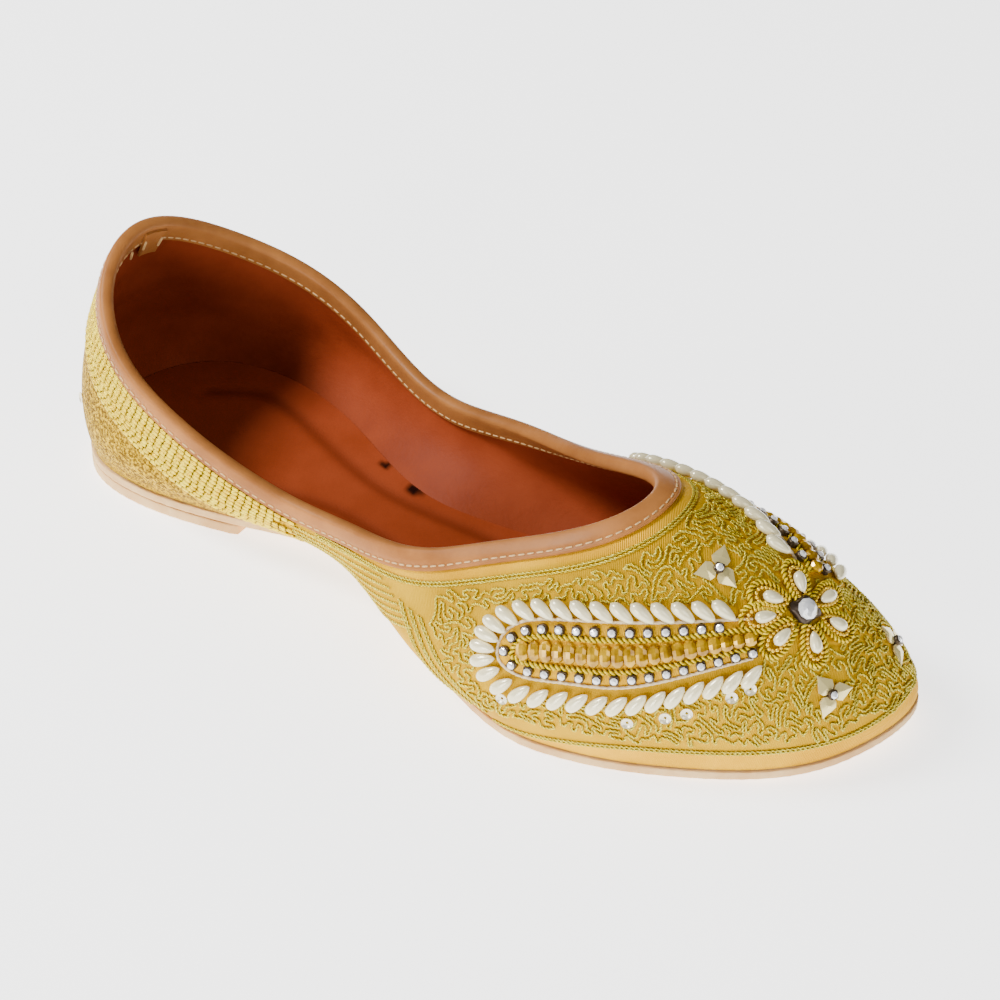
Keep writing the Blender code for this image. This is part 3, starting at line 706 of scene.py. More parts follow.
# Insole: one piece of rust-brown leather over the whole foot bed, glued down. Its stiffener
# shows as two pressed grooves, and glue has left two dark spots where it meets the lining.
INSOLE = 0.0022
INSOLE_CLEARANCE = 0.0007
GROOVES = (
    ((-0.098, 0.020), (-0.087, 0.0275), (-0.076, 0.0262), (-0.062, 0.0210), (-0.048, 0.0155), (-0.035, 0.0118),
     (-0.024, 0.0108), (-0.013, 0.0112), (-0.002, 0.0125), (0.012, 0.0135)),
    ((-0.058, -0.0052), (-0.046, -0.0025), (-0.036, -0.0018), (-0.0215, -0.0035), (-0.008, -0.0070)),
)
GROOVE_DEPTH = 0.00055
GROOVE_WIDTH = 0.0021
GLUE_SPOTS = ((-0.0388, 0.0206, 0.0015), (-0.0262, 0.0168, 0.0024))
INSOLE_ROWS = 220
INSOLE_ACROSS = 61


def to_line(points, line):
    """Distance in the plane from each point to a line whose corners are cut smooth."""
    line = np.array(line)
    for _ in range(3):
        cut = np.stack([0.75 * line[:-1] + 0.25 * line[1:], 0.25 * line[:-1] + 0.75 * line[1:]], 1)
        line = np.concatenate([line[:1], cut.reshape(-1, 2), line[-1:]])
    best = np.full(len(points), 1.0)
    for start, stop in zip(line[:-1], line[1:]):
        share = np.clip(((points - start) @ (stop - start)) / ((stop - start) @ (stop - start)), 0, 1)
        best = np.minimum(best, np.linalg.norm(points - start - share[:, None] * (stop - start), axis=1))
    return best


def beside_feather(along, height, clearance):
    """Both edges of a flat outline at a height over the feather line, clear of the surface."""
    around = np.arcsin(np.clip(height / np.maximum(ridge(along), height + 1e-6), 0, 1))
    sides = []
    for angle in (around, np.pi - around):
        points, normal = surface(along, angle), outward(along, angle)
        level = normal * (1, 1, 0)
        sides.append(points + clearance * level / (level * level).sum(-1, keepdims=True))
    near, far = sides
    near[0, 1] = far[0, 1] = (near[0, 1] + far[0, 1]) / 2
    return near, far


INSOLE_LEATHER = new_material("insole_leather", (0.3, 0.05, 0.015, 1), 0.45, **{"Specular IOR Level": 0.08})
wear = ramp(noise(INSOLE_LEATHER, 24.0, 4.0, 0.6), 0.3, 0.72)
# The grooves are coloured much darker than the leather round them.
groove_dark = node(INSOLE_LEATHER, "ShaderNodeAttribute", output=2, attribute_name="groove_dark")
glue = node(INSOLE_LEATHER, "ShaderNodeAttribute", output=2, attribute_name="glue")
leather = mix(wear, (0.25, 0.040, 0.010, 1), (0.37, 0.066, 0.020, 1))
leather = mix(groove_dark * 0.5, leather, (0.09, 0.012, 0.003, 1))
finish(INSOLE_LEATHER, {
    "Base Color": mix(glue, leather, (0.015, 0.003, 0.002, 1)),
    "Roughness": wear * 0.15 + 0.36 - glue * 0.2,
    "Normal": bump(noise(INSOLE_LEATHER, 900.0, 4.0, 0.6), 0.00008)})

along = np.linspace(0.0, np.pi * 0.985, INSOLE_ROWS)
near, far = beside_feather(along, INSOLE, -WALL - INSOLE_CLEARANCE)
low_near, low_far = beside_feather(along, 0.0, -WALL - INSOLE_CLEARANCE)
span = share_at(np.linspace(0, np.pi, INSOLE_ACROSS))[None, :, None]
top = near[:, None] * (1 - span) + far[:, None] * span
under = low_near[:, None] * (1 - span) + low_far[:, None] * span
flat_points = top.reshape(-1, 3)[:, :2]
furrow = sum(np.exp(-(to_line(flat_points, line) / GROOVE_WIDTH) ** 2) for line in GROOVES)
blot = sum(np.exp(-(np.hypot(flat_points[:, 0] - px, flat_points[:, 1] - py) / size) ** 4)
           for px, py, size in GLUE_SPOTS)
top = top - np.array([0, 0, 1]) * (GROOVE_DEPTH * furrow.reshape(top.shape[:2]))[..., None]
insole = pad("insole_leather", top, under, INSOLE_LEATHER)
blank = np.zeros(len(furrow))
for label, values in (("groove_dark", furrow), ("glue", np.minimum(1, 1.3 * blot))):
    data = insole.data.attributes.new(label, "FLOAT", "POINT").data
    data.foreach_set("value", np.concatenate([np.clip(values, 0, 1), blank]).astype(np.float32))
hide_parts("insole")


# Sole and heel lift: two layers of pale vegetable-tanned leather. The cut edges are raw and a
# little uneven, and the lift ends in an upright breast.
SOLE_EDGE = 0.0006
BREAST = 0.25
EDGE_ROUND = 0.00035

SOLE_LEATHER = new_material("sole_leather", (0.86, 0.58, 0.30, 1), 0.7, **{"Specular IOR Level": 0.2})
blush = ramp(noise(SOLE_LEATHER, 90.0, 4.0, 0.6), 0.35, 0.68)
fibre = noise(SOLE_LEATHER, 1100.0, 5.0, 0.7)
finish(SOLE_LEATHER, {
    "Base Color": mix(blush, (0.66, 0.38, 0.15, 1), (0.84, 0.57, 0.27, 1)),
    "Normal": bump(fibre + noise(SOLE_LEATHER, 240.0, 3.0) * 1.4, 0.00012)})


def layer(name, along, top_heights, bottom_heights, pointed, node_name):
    near, far = beside_feather(along, 0.0, 0.0)
    outline = np.concatenate([near, far[-2:0:-1] if pointed else far[:0:-1]])
    run = np.roll(outline, -1, axis=0) - np.roll(outline, 1, axis=0)
    aside = unit(np.stack([run[:, 1], -run[:, 0], 0 * run[:, 0]], -1))
    both = [np.concatenate([h, h[-2:0:-1] if pointed else h[:0:-1]]) for h in (top_heights, bottom_heights)]
    rings = []
    inset = np.array([EDGE_ROUND, 0.25 * EDGE_ROUND, 0, 0, 0, 0, 0.25 * EDGE_ROUND, EDGE_ROUND])
    rise = np.array([0, EDGE_ROUND * 0.3, EDGE_ROUND, 0.33, 0.67, -EDGE_ROUND, -EDGE_ROUND * 0.3, 0])
    for k in range(8):
        height = (both[0] - rise[k] if k < 3 else both[1] - rise[k] if k > 4
                  else both[0] + (both[1] - both[0]) * rise[k])
        uneven = 0.00007 * np.sin(np.arange(len(outline)) * (1.3 + 0.4 * k)) * (0 < k < 7)
        ring = outline + aside * (SOLE_EDGE - inset[k] + uneven)[:, None]
        ring[:, 2] = height
        rings.append(ring)
    count = len(outline)
    faces = []
    for k in range(7):
        faces += [(k * count + j, k * count + (j + 1) % count, (k + 1) * count + (j + 1) % count,
                   (k + 1) * count + j) for j in range(count)]
    across = [(0, 1, count - 1)]
    i = 1
    while i + 1 < count - i - 1:
        across.append((i, i + 1, count - i - 1, count - i))
        i += 1
    if i + 1 == count - i - 1:
        across.append((i, i + 1, i + 2))
    faces += across + [tuple(7 * count + j for j in reversed(face)) for face in across]
    piece = new_piece(name, np.concatenate(rings), faces, (SOLE_LEATHER,), sharp=40)
    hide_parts(node_name)
    return piece


foot = np.linspace(0, np.pi, 161)
sole_top = feather_height(share_at(foot)) - GAP
layer("sole_layer", foot, sole_top, sole_top - SOLE, True, "outsole")
lift_along = np.linspace(0, angle_at(BREAST), 60)
layer("heel_layer", lift_along, HEEL_LIFT * np.ones(60), np.zeros(60), False, "heel_lift")


# Heel cords: rows of thick bright gold cord lie side by side round the back of the shoe,
# parallel to the binding, and run out at the waist. The lowest ones end at the sole.
HEEL_ROWS = 10
HEEL_ROW_PITCH = 0.00125
HEEL_DASH = (0.0022, 0.00062)   # pitch along the row, and radius
HEEL_END = 0.50                 # of the way from heel to throat

BRIGHT = new_material("bright_gold_cord", (1.0, 0.70, 0.08, 1), 0.3, 0.5, **{"Specular IOR Level": 0.05})
shade = ramp(noise(BRIGHT, 420.0, 3.0, 0.7), 0.3, 0.7)
# Painted shade: where the crest is low, between the plies, the colour goes near-black.
crest = ramp(node(BRIGHT, "ShaderNodeAttribute", output=2, attribute_name="crest"), 0.1, 0.7)
finish(BRIGHT, {
    "Base Color": mix(crest, (0.11, 0.055, 0.0, 1), mix(shade, (0.78, 0.49, 0.0, 1), (1.0, 0.80, 0.03, 1))),
    "Roughness": shade * 0.2 + 0.2,
    "Normal": bump(noise(BRIGHT, 1900.0, 3.0, 0.7), 0.00022)})

depth = fall[-1] + edge_drop    # from the topline to the feather line in each column
dashes = []
for k in range(HEEL_ROWS):
    drop = leg + 0.0011 + HEEL_ROW_PITCH * k
    line, normals = on_angles(under_edge(drop), 0.00035 * np.ones(count))
    room = (drop < depth - 0.0012) & (ring_place < HEEL_END - 0.012 * (k % 3))
    near_end = next(i for i in range(COLUMNS) if not room[i])
    chosen = np.arange(-near_end + 1, near_end)
    line, normals = even(line[chosen], HEEL_DASH[0], normals[chosen])
    if k % 2:
        line, normals = (line[1:] + line[:-1]) / 2, normals[1:]
    course = unit(np.gradient(line, axis=0))
    dashes.append((line, course + 0.14 * np.cross(normals, course), normals))
# The dashes' ends get a low crest, so they take the painted shade where the dashes meet.
dash_ends = np.array((0.0, 0.6, 1.0, 0.6, 0.0))
dash = lathe(HEEL_DASH[1] * np.array((0.35, 0.86, 1.0, 0.86, 0.35)),
             HEEL_DASH[0] * np.array((-0.53, -0.40, 0.0, 0.40, 0.53)), 8, 0.75)
dash.data.attributes.new("crest", "FLOAT", "POINT").data.foreach_set("value", np.repeat(dash_ends, 8))
line, course, normals = (np.concatenate(rows) for rows in zip(*dashes))
sizes = np.random.default_rng(2).uniform(0.92, 1.06, (len(line), 3))
rows_piece = set_pieces("heel_cords", line, course, normals, dash, BRIGHT, sizes)


# Borders: a double cord follows the plain band under the binding, another follows the plain
# band over the sole, finer cords run along the waist, and four slanting pairs close the waist
# off from the vamp.
BORDER_CORD = 0.0004
WAIST_ROWS = 8
WAIST_PITCH = 0.0017
WAIST_CORD = 0.00042
PANEL = ((0.524, 0.604), (0.539, 0.624), (0.554, 0.644))

CORD = new_material("gold_cord", (0.9, 0.62, 0.06, 1), 0.3, 0.5, **{"Specular IOR Level": 0.05})
tone = ramp(noise(CORD, 700.0, 3.0, 0.7), 0.3, 0.7)
# Painted shade: where the crest is low, between the plies, the colour goes near-black.
crest = ramp(node(CORD, "ShaderNodeAttribute", output=2, attribute_name="crest"), 0.25, 0.8)
finish(CORD, {
    "Base Color": mix(crest, (0.07, 0.035, 0.0, 1), mix(tone, (0.86, 0.58, 0.0, 1), (1.0, 0.90, 0.14, 1))),
    "Roughness": tone * 0.2 + 0.18,
    "Normal": bump(noise(CORD, 2200.0, 3.0, 0.7), 0.0002)})


def over_feather(height):
    """Angles of the points a height up each column from the feather line."""
    rise = (fall[-1] - fall)[::-1]
    alongs = np.stack([angles[0] for angles in outer_angles])[::-1]
    arounds = np.stack([angles[1] for angles in outer_angles])[::-1]
    height = height * np.ones(count)
    return (np.array([np.interp(height[j], rise[:, j], alongs[:, j]) for j in range(count)]),
            np.array([np.interp(height[j], rise[:, j], arounds[:, j]) for j in range(count)]))


def girth(share, distance):
    """Angles at a share of the length and a distance across, from the ridge to the inner side."""
    around = np.linspace(0, np.pi, 181)
    along = angle_at(share) * np.ones_like(distance)
    grid = surface(along[:, None], around[None, :])
    run = np.append(np.zeros((len(along), 1)),
                    np.cumsum(np.linalg.norm(np.diff(grid, axis=1), axis=2), axis=1), axis=1)
    run = run - run[:, 90:91]
    return along, np.array([np.interp(d, r, around) for d, r in zip(distance, run)]), run[:, 0], run[:, -1]


band = leg + 0.0005 + PLAIN_BAND * smooth_step(ring_place, 0.50, 0.74)
front = np.flatnonzero(ring_place > 0.52)
hem = 0.0012 + 0.0052 * smooth_step(ring_place, 0.56, 0.72)
sides = np.flatnonzero(ring_place > 0.60)
paths = []
for gap in (0, 0.00085):
    paths.append(even(on_angles(under_edge(band + gap), 0.0002 * np.ones(count))[0][front], 0.0004)[0])
    paths.append(even(on_angles(over_feather(hem + gap), 0.0002 * np.ones(count))[0][sides], 0.0004)[0])
for side in (-1, 1):
    for top_share, foot_share in PANEL:
        for shift in (0, 0.0046):
            share = np.linspace(top_share + shift, foot_share + shift, 60)
            _, _, near_edge, far_edge = girth(share, np.zeros(60))
            limit = near_edge if side < 0 else far_edge
            _, turn, _, _ = girth(share, limit * np.linspace(0.64, 0.92, 60))
            paths.append(on_angles((angle_at(share), turn), 0.0002 * np.ones(60))[0])
borders = cord("border_cords", paths, BORDER_CORD, CORD, twist=0.0024, step=0.0003)

paths = []
for k in range(WAIST_ROWS):
    drop = leg + 0.0022 + WAIST_PITCH * k
    line, _ = on_angles(under_edge(drop), 0.00012 * np.ones(count))
    room = (drop < depth - 0.002) & (ring_place > 0.49) & (ring_place < 0.609 + 0.0055 * k)
    for half in (np.arange(count) <= COLUMNS, np.arange(count) > COLUMNS):
        chosen = np.flatnonzero(room & half)
        if len(chosen) > 8:
            paths.append(even(line[chosen], 0.0004)[0])
waist = cord("waist_cords", paths, WAIST_CORD, CORD, twist=0.002, step=0.0004)


# Leaves: on each side of the vamp a padded leaf of fabric is framed by an off-white cord and
# by teardrop pearls that lean back towards the heel. Inside it lie a chain of cut stones in
# dark metal cups, a row of gold cord and a row of big amber beads.
NEAR_LEAF = (0.761, 0.191, 14.0)
FAR_LEAF = (0.776, 0.742, -22.0)
NEAR_LENGTH = 0.0616
FAR_LENGTH = 0.0574
LEAF_BACK = 0.0277
LEAF_WIDTH = 0.0164
BEAD_SEAT = 0.0005
PEARL = (0.0071, 0.0033)        # length and width
PEARL_PITCH = (0.0033, 0.0047)  # round the back end and along the sides
PEARL_GAP = {"near": (0.0023, 0.0036, 0.0041), "far": (0.0046, 0.0036, 0.0041)}   # above, behind, below
PEARL_LEAN = 1.15
CUP_PITCH = 0.0042
CUP_SIZE = 0.00130
AMBER_PITCH = 0.0029
LEAF_COLUMNS = ("along", "middle", "half_width")
LEAF = (
    (0.00, -0.10, 0.00),
    (0.12, 0.00, 0.43),
    (0.30, 0.00, 0.48),
    (0.50, -0.02, 0.49),
    (0.70, 0.06, 0.42),
    (1.00, 0.24, 0.30),
)

PEARL_COAT = new_material("pearl", (0.95, 0.85, 0.52, 1), 0.25, 0.12, **{"Coat Weight": 1.0, "Coat Roughness": 0.16})
AMBER = new_material("amber_bead", (0.7, 0.36, 0.01, 1), 0.10, 0.35, **{"Coat Weight": 0.3, "Coat Roughness": 0.03})
amber_tone = ramp(noise(AMBER, 330.0, 2.0), 0.34, 0.66)
finish(AMBER, {"Base Color": mix(amber_tone, (0.26, 0.12, 0.0, 1), (0.70, 0.40, 0.0, 1))})
STONE = new_material("cut_stone", (0.93, 0.93, 0.95, 1), 0.04, 0.3, **{"Coat Weight": 1.0})
CUP = new_material("dark_cup", (0.07, 0.045, 0.022, 1), 0.35, 0.5)
WHITE_CORD = new_material("off_white_cord", (0.92, 0.72, 0.42, 1), 0.45)

leaf = table(LEAF_COLUMNS, LEAF)
leaf_middle = natural_curve(np.sqrt(leaf["along"]), leaf["middle"] * LEAF_WIDTH)
leaf_half = natural_curve(np.sqrt(leaf["along"]), leaf["half_width"] * LEAF_WIDTH)


def seat_at(spot):
    """A place on the upper, and a map from lengths measured there onto the surface."""
    share, turn_share, heading = spot
    along, around = angle_at(share), np.pi * turn_share
    lengthways, _ = slopes(along, around)
    normal = outward(along, around)
    ahead = unit(lengthways)
    aside = np.cross(normal, ahead)
    turn = np.radians(heading)
    ahead, aside = ahead * np.cos(turn) + aside * np.sin(turn), aside * np.cos(turn) - ahead * np.sin(turn)

    def onto(u, v, lift=0.0):
        u, v, lift = np.broadcast_arrays(np.asarray(u, float), v, lift)
        far = np.maximum(np.hypot(u, v), 1e-9)
        direction = (ahead * (u / far)[..., None] + aside * (v / far)[..., None])
        angles = walk(np.full(u.shape, along), np.full(u.shape, around), direction, far)
        normals = outward(*angles)
        return surface(*angles) + normals * (BEAD_SEAT + lift)[..., None], normals
    return onto


def leaf_edge(length, pitch):
    """The leaf's outline in even steps, from the flower round the back end and forward again."""
    root = np.linspace(1, 0, 160)
    ahead = root ** 2 * length - LEAF_BACK
    upper_side = np.stack([ahead, leaf_middle(root) + leaf_half(root)], -1)
    lower_side = np.stack([ahead, leaf_middle(root) - leaf_half(root)], -1)
    points, = even(np.concatenate([upper_side, lower_side[-2::-1]]), pitch)
    course = unit(np.gradient(points, axis=0))
    return points, np.stack([course[:, 1], -course[:, 0]], -1)


def teardrop(length, width, sides=14):
    t = np.linspace(0, 1, 11)
    bulge = np.sqrt(np.clip(1 - (2 * t - 1) ** 2, 0, 1)) * (0.58 + 0.42 * t)
    bulge[0], bulge[-1] = 0.05, 0.05
    return lathe(width / 2 * bulge / bulge.max(), (t - 0.5) * length, sides, 0.9)


beads = {"pearl": [], "cup": [], "stone": []}
keep_clear = []
for side, spot, mirrored, length in (("near", NEAR_LEAF, 1, NEAR_LENGTH), ("far", FAR_LEAF, -1, FAR_LENGTH)):
    onto = seat_at(spot)

    def lay(points, lift):
        return onto(points[:, 0], mirrored * points[:, 1], lift)

    points, aside = leaf_edge(length, 0.0008)
    width_here = np.clip(leaf_half(np.sqrt(np.clip((points[:, 0] + LEAF_BACK) / length, 0.2, 1))), 0.003, 0.009)
    share_width = (width_here / leaf_half(0.6))[:, None]

    root = np.linspace(0.02, 1, 60)
    across = np.linspace(-1, 1, 17)
    u = (root ** 2 * length - LEAF_BACK)[:, None] + 0 * across
    v = leaf_middle(root)[:, None] + leaf_half(root)[:, None] * across
    dome = 0.0007 * (1 - across ** 4) * np.minimum(1, 6 * root)[:, None] + 0.0002
    bed = pad("leaf_bed_" + side, onto(u, mirrored * v, dome - BEAD_SEAT)[0],
              onto(u, mirrored * v, -0.0002 - BEAD_SEAT)[0], FABRIC)
    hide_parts("leaf_centre_" + side)

    frame_cord = cord("leaf_frame_" + side, [lay(points, 0.0001)[0]], 0.00048, WHITE_CORD, twist=0.003,
                      flatness=0.8, step=0.0004, sides=8)
    inner = points - aside * 0.0042 * share_width
    inner_cord = cord("leaf_cord_" + side, [lay(inner, 0.0006)[0]], 0.00095, BRIGHT, twist=0.0026,
                      flatness=0.6, step=0.0003, sides=8)

    marks, mark_side = even(points - aside * 0.0023 * share_width, CUP_PITCH, aside)
    kept = (marks[:, 0] < 0.0285) | (mark_side[:, 1] < 0)
    marks, mark_side = marks[kept], mark_side[kept]
    centre, normal = lay(marks, 0.0010)
    course = np.gradient(centre, axis=0)
    beads["cup"].append((centre, course, normal))
    beads["stone"].append((centre + normal * 0.0006, course, normal))

    gap = np.interp(aside[:, 1], (-1, 0, 1), PEARL_GAP[side][::-1])
    ring = points + aside * gap[:, None]
    pitch = np.interp(np.abs(aside[:, 1]), (0.5, 0.95), PEARL_PITCH)
    run = np.append(0, np.cumsum(np.linalg.norm(np.diff(ring, axis=0), axis=1) / pitch[1:]))
    at = np.arange(1.5, run[-1])
    pearl_at = np.stack([np.interp(at, run, ring[:, k]) for k in (0, 1)], -1)
    mark_side = unit(np.stack([np.interp(at, run, aside[:, k]) for k in (0, 1)], -1))
    lean = unit(mark_side - np.array([PEARL_LEAN, 0]) * np.abs(mark_side[:, 1:2]) ** 2)
    inner_end, _ = lay(pearl_at - lean * PEARL[0] / 2, 0.0)
    outer_end, _ = lay(pearl_at + lean * PEARL[0] / 2, 0.0)
    centre, normal = lay(pearl_at, PEARL[1] * 0.42)
    beads["pearl"].append((centre, outer_end - inner_end, normal))

    root = np.linspace(0, 1, 200)
    middle_line = np.stack([root * length - LEAF_BACK, leaf_middle(np.sqrt(root))], -1)
    chosen = (root > 0.115) & (root < 0.985)
    marks, = even(middle_line[chosen], AMBER_PITCH)
    room = 0.36 * leaf_half(np.sqrt((marks[:, 0] + LEAF_BACK) / length)) * 2
    centre, normal = lay(marks, 0.0012)
    course = np.gradient(centre, axis=0)
    rng = np.random.default_rng(4)
    sizes = np.stack([np.full(len(marks), 1.0), room / 0.0029, 0.9 + 0 * room], -1) * rng.uniform(0.93, 1.05, (len(marks), 1))
    t = np.linspace(0, np.pi, 6)
    amber = set_pieces("leaf_amber_" + side, centre, course, normal,
                       lathe(0.00145 * np.sin(t) ** 0.8 + 1e-5, -0.00160 * np.cos(t), 10, smooth=False), AMBER, sizes)

    u, v = np.meshgrid(np.linspace(-LEAF_BACK - 0.006, length - LEAF_BACK + 0.001, 70), np.linspace(-0.015, 0.015, 30))
    reach = leaf_half(np.sqrt(np.clip((u + LEAF_BACK) / length, 0.10, 1))) + np.where(v > 0, 0.0038, 0.0050)
    inside = np.abs(v - leaf_middle(np.sqrt(np.clip((u + LEAF_BACK) / length, 0, 1)))) < reach
    keep_clear.append(onto(u[inside], mirrored * v[inside])[0])


def gather(name):
    return [np.concatenate(rows) for rows in zip(*beads[name])]


for side, rows in zip(("near", "far"), beads["pearl"]):
    pearls = set_pieces("pearls_" + side, *rows, teardrop(*PEARL), PEARL_COAT)
    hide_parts("leaf_pearls_" + side)


# Sequins: small cupped discs with a hole lie at the outer ends of some pearls, below the leaf and near its front, and
# one more sits at the heel. The real ones are white, clear gold and silver; here all take one pale finish.
SEQUINS = ((-0.0268, -0.0128), (0.0035, -0.0172), (0.0126, -0.0158), (0.0178, -0.0146), (0.0285, -0.0106),
           (0.0330, -0.0086))
SEQUIN = 0.0015

SHELL = new_material("sequin", (0.95, 0.86, 0.62, 1), 0.12, 0.25, **{"Coat Weight": 1.0})
onto = seat_at(NEAR_LEAF)
disc_turn = np.arange(16) / 16 * 2 * np.pi
disc_levels = ((0.25, 0.0), (0.62, 0.0), (1.0, 0.00045), (1.0, 0.0006), (0.60, 0.00016), (0.25, 0.00015))
disc_points = [(SEQUIN * r * np.cos(a), SEQUIN * r * np.sin(a), h) for r, h in disc_levels for a in disc_turn]
disc_faces = [(k * 16 + j, k * 16 + (j + 1) % 16, (k + 1) % 6 * 16 + (j + 1) % 16, (k + 1) % 6 * 16 + j)
              for k in range(6) for j in range(16)]
centre, normal = onto(*np.array(SEQUINS).T, 0.0008)
heel_spot = (np.array([angle_at(0.062)]), np.array([0.277]))
heel_at, heel_normal = on_angles(heel_spot, np.array([0.0012]))
sequins = set_pieces("sequins", np.concatenate([centre, heel_at]), (1.0, 0.0, 0.0),
                     np.concatenate([normal, heel_normal]), shape_of(disc_points, disc_faces), SHELL)


# Flower: over the toe sits a big cut stone in a dark setting, ringed by seven petals. Each
# petal is a teardrop pearl inside a ring of small gold beads and a loop of gold cord.
FLOWER = (0.895, 0.441, 0.0)
FLOWER_MIDDLE = (0.0004, -0.0007)
PETALS = ((-0.0085, -0.0026), (-0.0044, 0.0046), (0.0036, 0.0062), (0.0089, 0.0024), (0.0060, -0.0050),
          (-0.0018, -0.0086), (-0.0078, -0.0072))
PETAL_PEARL = (0.0054, 0.0030)
PETAL_RING = (0.0040, 0.0025)   # half length and half width of the ring of gold beads
PETAL_LOOP = (0.0056, 0.0041)
STONE_RADIUS = 0.0026
SEED = 0.00052



def nearest(points, cloud):
    """Distance from each point to the nearest one of a cloud."""
    best = np.full(len(points), 1.0)
    for start in range(0, len(cloud), 400):
        part = np.linalg.norm(points[:, None] - cloud[None, start:start + 400], axis=2).min(axis=1)
        best = np.minimum(best, part)
    return best


SETTING = new_material("dark_setting", (0.05, 0.032, 0.02, 1), 0.3, 0.5)
SEED_GOLD = new_material("gold_bead", (0.90, 0.60, 0.04, 1), 0.22, 0.6)
onto = seat_at(FLOWER)
seeds, loops, petals = [], [], []
for petal in np.array(PETALS):
    out = petal / np.linalg.norm(petal)
    across = np.array([-out[1], out[0]])
    petal = petal + FLOWER_MIDDLE
    ring_turn = np.linspace(0, 2 * np.pi, 60)
    for reach, target, lift in ((PETAL_RING, seeds, 0.0006), (PETAL_LOOP, loops, 0.0004)):
        taper = 0.72 + 0.28 * np.cos(ring_turn)
        shape_line = (petal + out * (reach[0] * np.cos(ring_turn))[:, None]
                      + across * (reach[1] * np.sin(ring_turn) * taper)[:, None])
        kept = np.abs(ring_turn - np.pi) > 0.5
        line, normal = onto(shape_line[:, 0], shape_line[:, 1], lift)
        if target is loops:
            line, normal = np.roll(line[:-1], 30, axis=0), np.roll(normal[:-1], 30, axis=0)
            kept = np.ones(len(line), bool)
            kept[:6] = kept[-6:] = False
            target.append(line[kept])
        else:
            line, normal = even(line, 2.1 * SEED, normal)
            target.append((line[:-1], np.gradient(line, axis=0)[:-1], normal[:-1]))
    middle_at, inner_at, outer_at = (petal + out * shift * PETAL_PEARL[0] for shift in (0, -0.5, 0.5))
    centre, normal = onto(middle_at[0], middle_at[1], PETAL_PEARL[1] * 0.5)
    ends = onto(outer_at[0], outer_at[1])[0] - onto(inner_at[0], inner_at[1])[0]
    petals.append((centre, ends, normal))
petal_pearls = set_pieces("flower_pearls", *[np.array(rows) for rows in zip(*petals)],
                          teardrop(*PETAL_PEARL), PEARL_COAT)
bead_turn = np.linspace(0, np.pi, 6)
seed_shape = lathe(SEED * np.sin(bead_turn) + 1e-5, -SEED * np.cos(bead_turn), 8)
seed_ring = set_pieces("flower_beads", *[np.concatenate(rows) for rows in zip(*seeds)], seed_shape, SEED_GOLD)
loop_cords = cord("flower_cords", loops, 0.00084, BRIGHT, twist=0.0024, flatness=0.62, step=0.0003, sides=8)
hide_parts("flower")

centre, normal = onto(*FLOWER_MIDDLE, 0.0)
ahead = unit(onto(0.002, 0.0)[0] - centre)
turn = np.arange(4) / 4 * 2 * np.pi + np.pi / 4
lobes = np.arange(32) / 32 * 2 * np.pi
setting_levels = ((0.0034, 0.0003, -0.0002), (0.0035, 0.0004, 0.0009), (0.0025, 0.0001, 0.0017))
setting_points = [((r + s * np.cos(4 * a)) * np.cos(a) * 1.12, (r + s * np.cos(4 * a)) * np.sin(a) * 0.9, h)
                  for r, s, h in setting_levels for a in lobes]
setting_faces = [tuple(range(32)), tuple(range(64, 96))]
setting_faces += [(k * 32 + j, k * 32 + (j + 1) % 32, (k + 1) * 32 + (j + 1) % 32, (k + 1) * 32 + j)
                  for k in (0, 1) for j in range(32)]
setting = set_pieces("flower_setting", [centre], [ahead], [normal], shape_of(setting_points, setting_faces), SETTING)


def brilliant(radius, height, sides=8):
    """A cut stone: a flat table, two rows of facets and a girdle."""
    levels = ((0.40, 1.0, 0.5), (0.76, 0.74, 0.0), (1.0, 0.30, 0.5), (1.0, 0.0, 0.5))
    points = [(radius * r * np.cos((j + s) / sides * 2 * np.pi), radius * r * np.sin((j + s) / sides * 2 * np.pi),
               height * h) for r, h, s in levels for j in range(sides)]
    faces = [tuple(range(sides)), tuple(range(3 * sides, 4 * sides))]
    for k, (_, _, shift) in enumerate(levels[:-1]):
        a, b = k * sides, (k + 1) * sides
        move = 1 if shift > levels[k + 1][2] else 0
        for j in range(sides):
            if shift == levels[k + 1][2]:
                faces.append((a + j, a + (j + 1) % sides, b + (j + 1) % sides, b + j))
            else:
                faces.append((a + j, a + (j + 1) % sides, b + (j + move) % sides if move else b + (j + 1) % sides))
                faces.append((b + j, b + (j + 1) % sides, a + j if move else a + j))
    return shape_of(points, faces, smooth=False)


flower_stone = set_pieces("flower_gem", [centre + normal * 0.0016], [ahead], [normal],
                          brilliant(STONE_RADIUS, 0.0015, 10), STONE)
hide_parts("flower_stone")
u, v = (grid.ravel() for grid in np.meshgrid(np.linspace(-0.014, 0.014, 30), np.linspace(-0.014, 0.014, 30)))
inside = nearest(np.stack([u, v], -1), np.array(PETALS) + FLOWER_MIDDLE) < 0.0044
keep_clear.append(onto(u[inside], v[inside])[0])


# Mirrors: three small sets of three pointed mirror leaves, each round a little stone in a
# metal cup, lie behind the flower and at both sides of the toe.
MIRRORS = {
    "mirror_centre": (0.821, 0.406, 100.0),
    "mirror_toe_near": (0.944, 0.279, 40.0),
    "mirror_toe_far": (0.957, 0.679, -40.0),
}
MIRROR_RADIUS = 0.0062
MIRROR_HEIGHT = 0.0006

